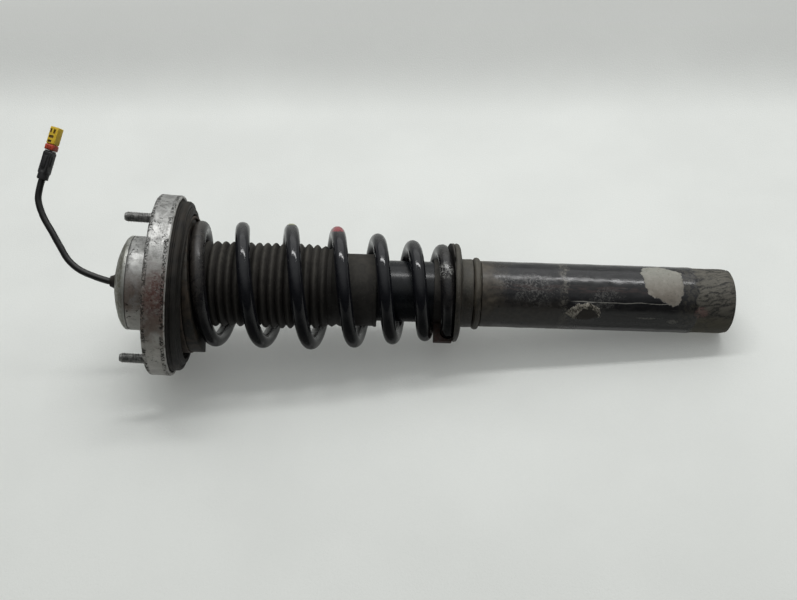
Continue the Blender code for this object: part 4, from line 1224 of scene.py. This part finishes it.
def build_damper():
    fine_copy("tube_upper", "damper_tube", tube_finish(), "damper_body", 0.6, 128, 12.0)

    chip_turn, chip_z, chip_arc, chip_rise, chip_high = math.radians(-27.0), 124.0, 9.0, 14.0, 0.6

    def blister(p, across):
        """Broken paint that stands up in a ragged ring round the chip."""
        arc = (math.atan2(p.x, -p.y) - chip_turn) * across
        far = math.hypot(arc / chip_arc, (p.z - chip_z) / chip_rise) + 0.3 * noise.noise(p / 4.0)
        return chip_high * smoothstep(1.1, 0.8, far) * smoothstep(0.35, 0.65, far)

    def worn(p):
        """The clamped foot is worn thinner than the rest."""
        p = p.copy()
        across = math.hypot(p.x, p.y)
        if across > 26.2:
            thin = 0.55 * smoothstep(32.5, 30.5, p.z)
            drop = min(1.0, max(0.0, (5.0 - p.z) / 5.0))
            thin += 1.6 * (1.0 - math.sqrt(1.0 - drop * drop))
            dent = 0.22 * noise.noise(p / 14.0) + 0.10 * noise.noise(p / 4.0)
            scale = (across - thin + dent * smoothstep(2.0, 8.0, p.z) + blister(p, across)) / across
            p.x *= scale
            p.y *= scale
        return p

    fine_copy("sleeve_clamp", "clamp_sleeve", sleeve_finish(), "damper_body", 0.8, 160, 1.6, worn,
              crease=50.0)
    fine_copy("end_cap", "bottom_cap", worn_paint("end_cap_paint", 0.4), "damper_body", 0.7, 96)
    fine_copy("bead_ring", "support_bead", worn_paint("bead_paint", 0.5, 1.0), "damper_body",
              1.2, 112, 3.0, dented(0.35, 9.0, 4.0))
    fine_copy("spring_dish", "lower_spring_seat", worn_paint("dish_paint", 0.5, 0.5), "damper_body",
              0.9, 128, 3.0, dented(0.4, 18.0, 6.0))
    fine_copy("spring_plate_rim", "spring_plate", dusty_steel(), "spring_seat",
              0.9, 144, 4.0, dented(0.3, 24.0, 2.0))


# ---- inside pieces


def build_inside():
    """The CAD's own inside nodes, each with its finish."""
    steel = machined("turned_steel", (0.30, 0.30, 0.31), (0.48, 0.48, 0.49))
    chrome = machined("ground_chrome", (0.62, 0.63, 0.65), (0.74, 0.75, 0.77), 0.14, 1.0, 0.08)
    brass = machined("contact_brass", (0.52, 0.36, 0.14), (0.72, 0.53, 0.25), 0.28)
    zinc = zinc_finish("inner_plating", False)
    rubber = rubber_finish("inner_rubber", 0.1, 0.2, False)
    nylon = plastic("inner_nylon", (0.014, 0.014, 0.015), (0.032, 0.032, 0.034), 0.5,
                    attribute=False)
    band = plastic("guide_band_weave", (0.14, 0.10, 0.05), (0.24, 0.18, 0.10), 0.55, 1.2,
                   attribute=False)
    cast = machined("inner_casting", (0.30, 0.30, 0.29), (0.44, 0.44, 0.42), 0.5, 0.8, 1.1)
    finishes = {
        "steel": steel, "hard_chrome": chrome, "brass": brass, "zinc": zinc, "rubber": rubber,
        "nylon": nylon, "guide_band": band, "cast_aluminium": cast, "bump_foam": foam_finish(),
        "copper": winding_finish(),
    }
    for name, node in frame["nodes"].items():
        if node.hide_render:
            continue
        for slot in node.material_slots:
            slot.link = "OBJECT"
            slot.material = finishes[SLOTS[name]]
        if not node.material_slots:
            node.data.materials.append(finishes[SLOTS[name]])


# ---- table, light and camera

VIEW_RISE = math.radians(45.0)          # camera's height above the table, as an angle
WALL_RISE = 0.190                       # image height, over focal length, of the wall's foot
GLOW = (0.22, 0.705)                    # light given off by the table and by the wall
FAINTER = 0.35                          # share of the table that is missing from reflections
BACKDROP = 0.66                         # strength of the surround where the camera sees it
SKY = (0.045, 0.75)                     # strength of the surround, low side and high side


def lowest(normal, centre, axis, radius):
    """Height, along normal, of the lowest point of a circle."""
    return normal.dot(centre) - radius * math.sqrt(max(0.0, 1.0 - normal.dot(axis) ** 2))


def table_plane():
    """Unit normal and offset, in mm, of the plane that the flange and the tube's foot rest on."""
    flange_low, flange_high = node_box("mount_housing")
    flange_r = 0.5 * (flange_high.y - flange_low.y)
    sleeve_r = node_box("clamp_sleeve")[1].y
    rims = [MOUNT @ Vector((0.0, 0.0, z)) for z in (461.0, 478.0)]
    foot = Vector((0.0, 0.0, 6.0))
    upright = Vector((math.cos(VIEW_RISE), -math.sin(VIEW_RISE), 0.0))
    low, high = -0.3, 0.3
    for _ in range(50):
        tilt = 0.5 * (low + high)
        normal = upright * math.cos(tilt) + Vector((0.0, 0.0, math.sin(tilt)))
        flange = min(lowest(normal, c, FLANGE_AXIS, flange_r) for c in rims)
        end = lowest(normal, foot, Vector((0.0, 0.0, 1.0)), sleeve_r)
        if flange < end:
            low = tilt
        else:
            high = tilt
    return normal, min(flange, end) - 0.2


def cove(name, foot, along, away, up, profile, finish):
    """Bent sheet: profile points (distance, rise) from foot, drawn out along a line."""
    wide = 2600.0
    points = [(foot + away * d + up * h + along * w) * MM for d, h in profile
              for w in (-wide, wide)]
    faces = [(2 * i, 2 * i + 1, 2 * i + 3, 2 * i + 2) for i in range(len(profile) - 1)]
    mesh = bpy.data.meshes.new(name)
    mesh.from_pydata(points, [], faces)
    if mesh.polygons[0].normal.dot(up) < 0.0:
        mesh.flip_normals()
    mesh.shade_smooth()
    mesh.materials.append(finish)
    obj = bpy.data.objects.new(name, mesh)
    bpy.context.scene.collection.objects.link(obj)
    obj.visible_shadow = False
    obj.visible_diffuse = False


def area_light(name, aim, reach, size, power):
    """Rectangular lamp, reach mm away from the point that it faces."""
    data = bpy.data.lights.new(name, "AREA")
    data.shape = "RECTANGLE"
    data.size, data.size_y = size
    data.energy = power
    obj = bpy.data.objects.new(name, data)
    bpy.context.scene.collection.objects.link(obj)
    away = reach.normalized()
    across = Vector((0.0, 0.0, 1.0))
    across = (across - away * across.dot(away)).normalized()
    obj.matrix_world = Matrix((across, away.cross(across), away)).transposed().to_4x4()
    obj.matrix_world.translation = (aim + reach) * MM
    return obj


def build_stage(camera):
    """Table that bends up into a wall behind, lit from above with a dim, plain surround."""
    normal, offset = table_plane()
    eye = camera.matrix_world.translation / MM
    turn = camera.matrix_world.to_3x3()
    right = turn @ Vector((1.0, 0.0, 0.0))
    bend = eye + (turn @ Vector((0.0, WALL_RISE, -1.0))) * 100.0
    sight = bend - eye
    reach = (offset - eye.dot(normal)) / sight.dot(normal)
    foot = eye + sight * reach
    along = right - sight * (right.dot(normal) / sight.dot(normal))
    along.normalize()
    away = normal.cross(along)
    if away.dot(sight) < 0.0:
        away.negate()
    bow, steps = 90.0, 16
    profile = [(-2200.0, 0.0), (-600.0, 0.0), (-200.0, 0.0)]
    profile += [(bow * math.sin(0.5 * math.pi * i / steps),
                 bow * (1.0 - math.cos(0.5 * math.pi * i / steps))) for i in range(steps + 1)]
    profile += [(bow, 400.0), (bow, 1500.0)]
    cove("table_sheet", foot, along, away, normal, profile,
         table_finish((0.655, 0.670, 0.646), normal, offset, away, foot))

    world = bpy.data.worlds.new("soft_sky")
    bpy.context.scene.world = world
    world.use_nodes = True
    sky = Nodes(world.node_tree)
    up = sky.dot(sky.out("ShaderNodeTexCoord", "Generated"), Vector(UP).normalized())
    seen = sky.out("ShaderNodeLightPath", "Is Camera Ray")
    back = world.node_tree.nodes["Background"]
    sky.put(back.inputs["Color"], (0.97, 0.99, 0.985))
    sky.put(back.inputs["Strength"], sky.blend(seen, sky.span(up, 0.15, 1.0, *SKY), BACKDROP))

    centre = Vector((0.0, 0.0, 283.0))
    lamps = (("key_light", Vector(UP).normalized() * 1500.0, (1.5, 0.15), 9.5),
             ("soft_light", (normal + away * 0.8).normalized() * 1800.0, (2.2, 1.4), 6.0),
             ("back_light", Vector((-0.12, 0.98, 0.15)) * 1600.0, (1.6, 1.6), 13.0),
             ("rim_light", Vector((-0.66, 0.75, 0.0)) * 1600.0, (1.5, 0.4), 1.1))
    for name, reach, metres, watts in lamps:
        area_light(name, centre, reach, metres, watts).visible_glossy = name != "back_light"


def build_camera():
    """Long-lens view across the lying strut: image right is down the strut, image up is +X."""
    data = bpy.data.cameras.new("view_camera")
    data.sensor_width = 36.0
    data.lens = 43.73
    camera = bpy.data.objects.new("view_camera", data)
    bpy.context.scene.collection.objects.link(camera)
    right = Vector((0.03181, -0.00898, -0.99945)).normalized()
    ahead = Vector((0.0, 0.99996, -0.00898))
    ahead = (ahead - right * ahead.dot(right)).normalized()
    up = right.cross(ahead)
    camera.matrix_world = Matrix((right, up, -ahead)).transposed().to_4x4()
    camera.matrix_world.translation = Vector((-7.54, -813.63, 283.23)) * MM
    bpy.context.scene.camera = camera
    return camera


build_spring()
build_gaiter()
build_upper_pad()
build_lower_pad()
build_flange()
build_studs()
build_seal()
build_cap()
build_cable()
build_connector()
build_damper()
build_inside()
build_stage(build_camera())
bpy.context.scene.view_settings.view_transform = "Standard"
bpy.context.view_layer.update()
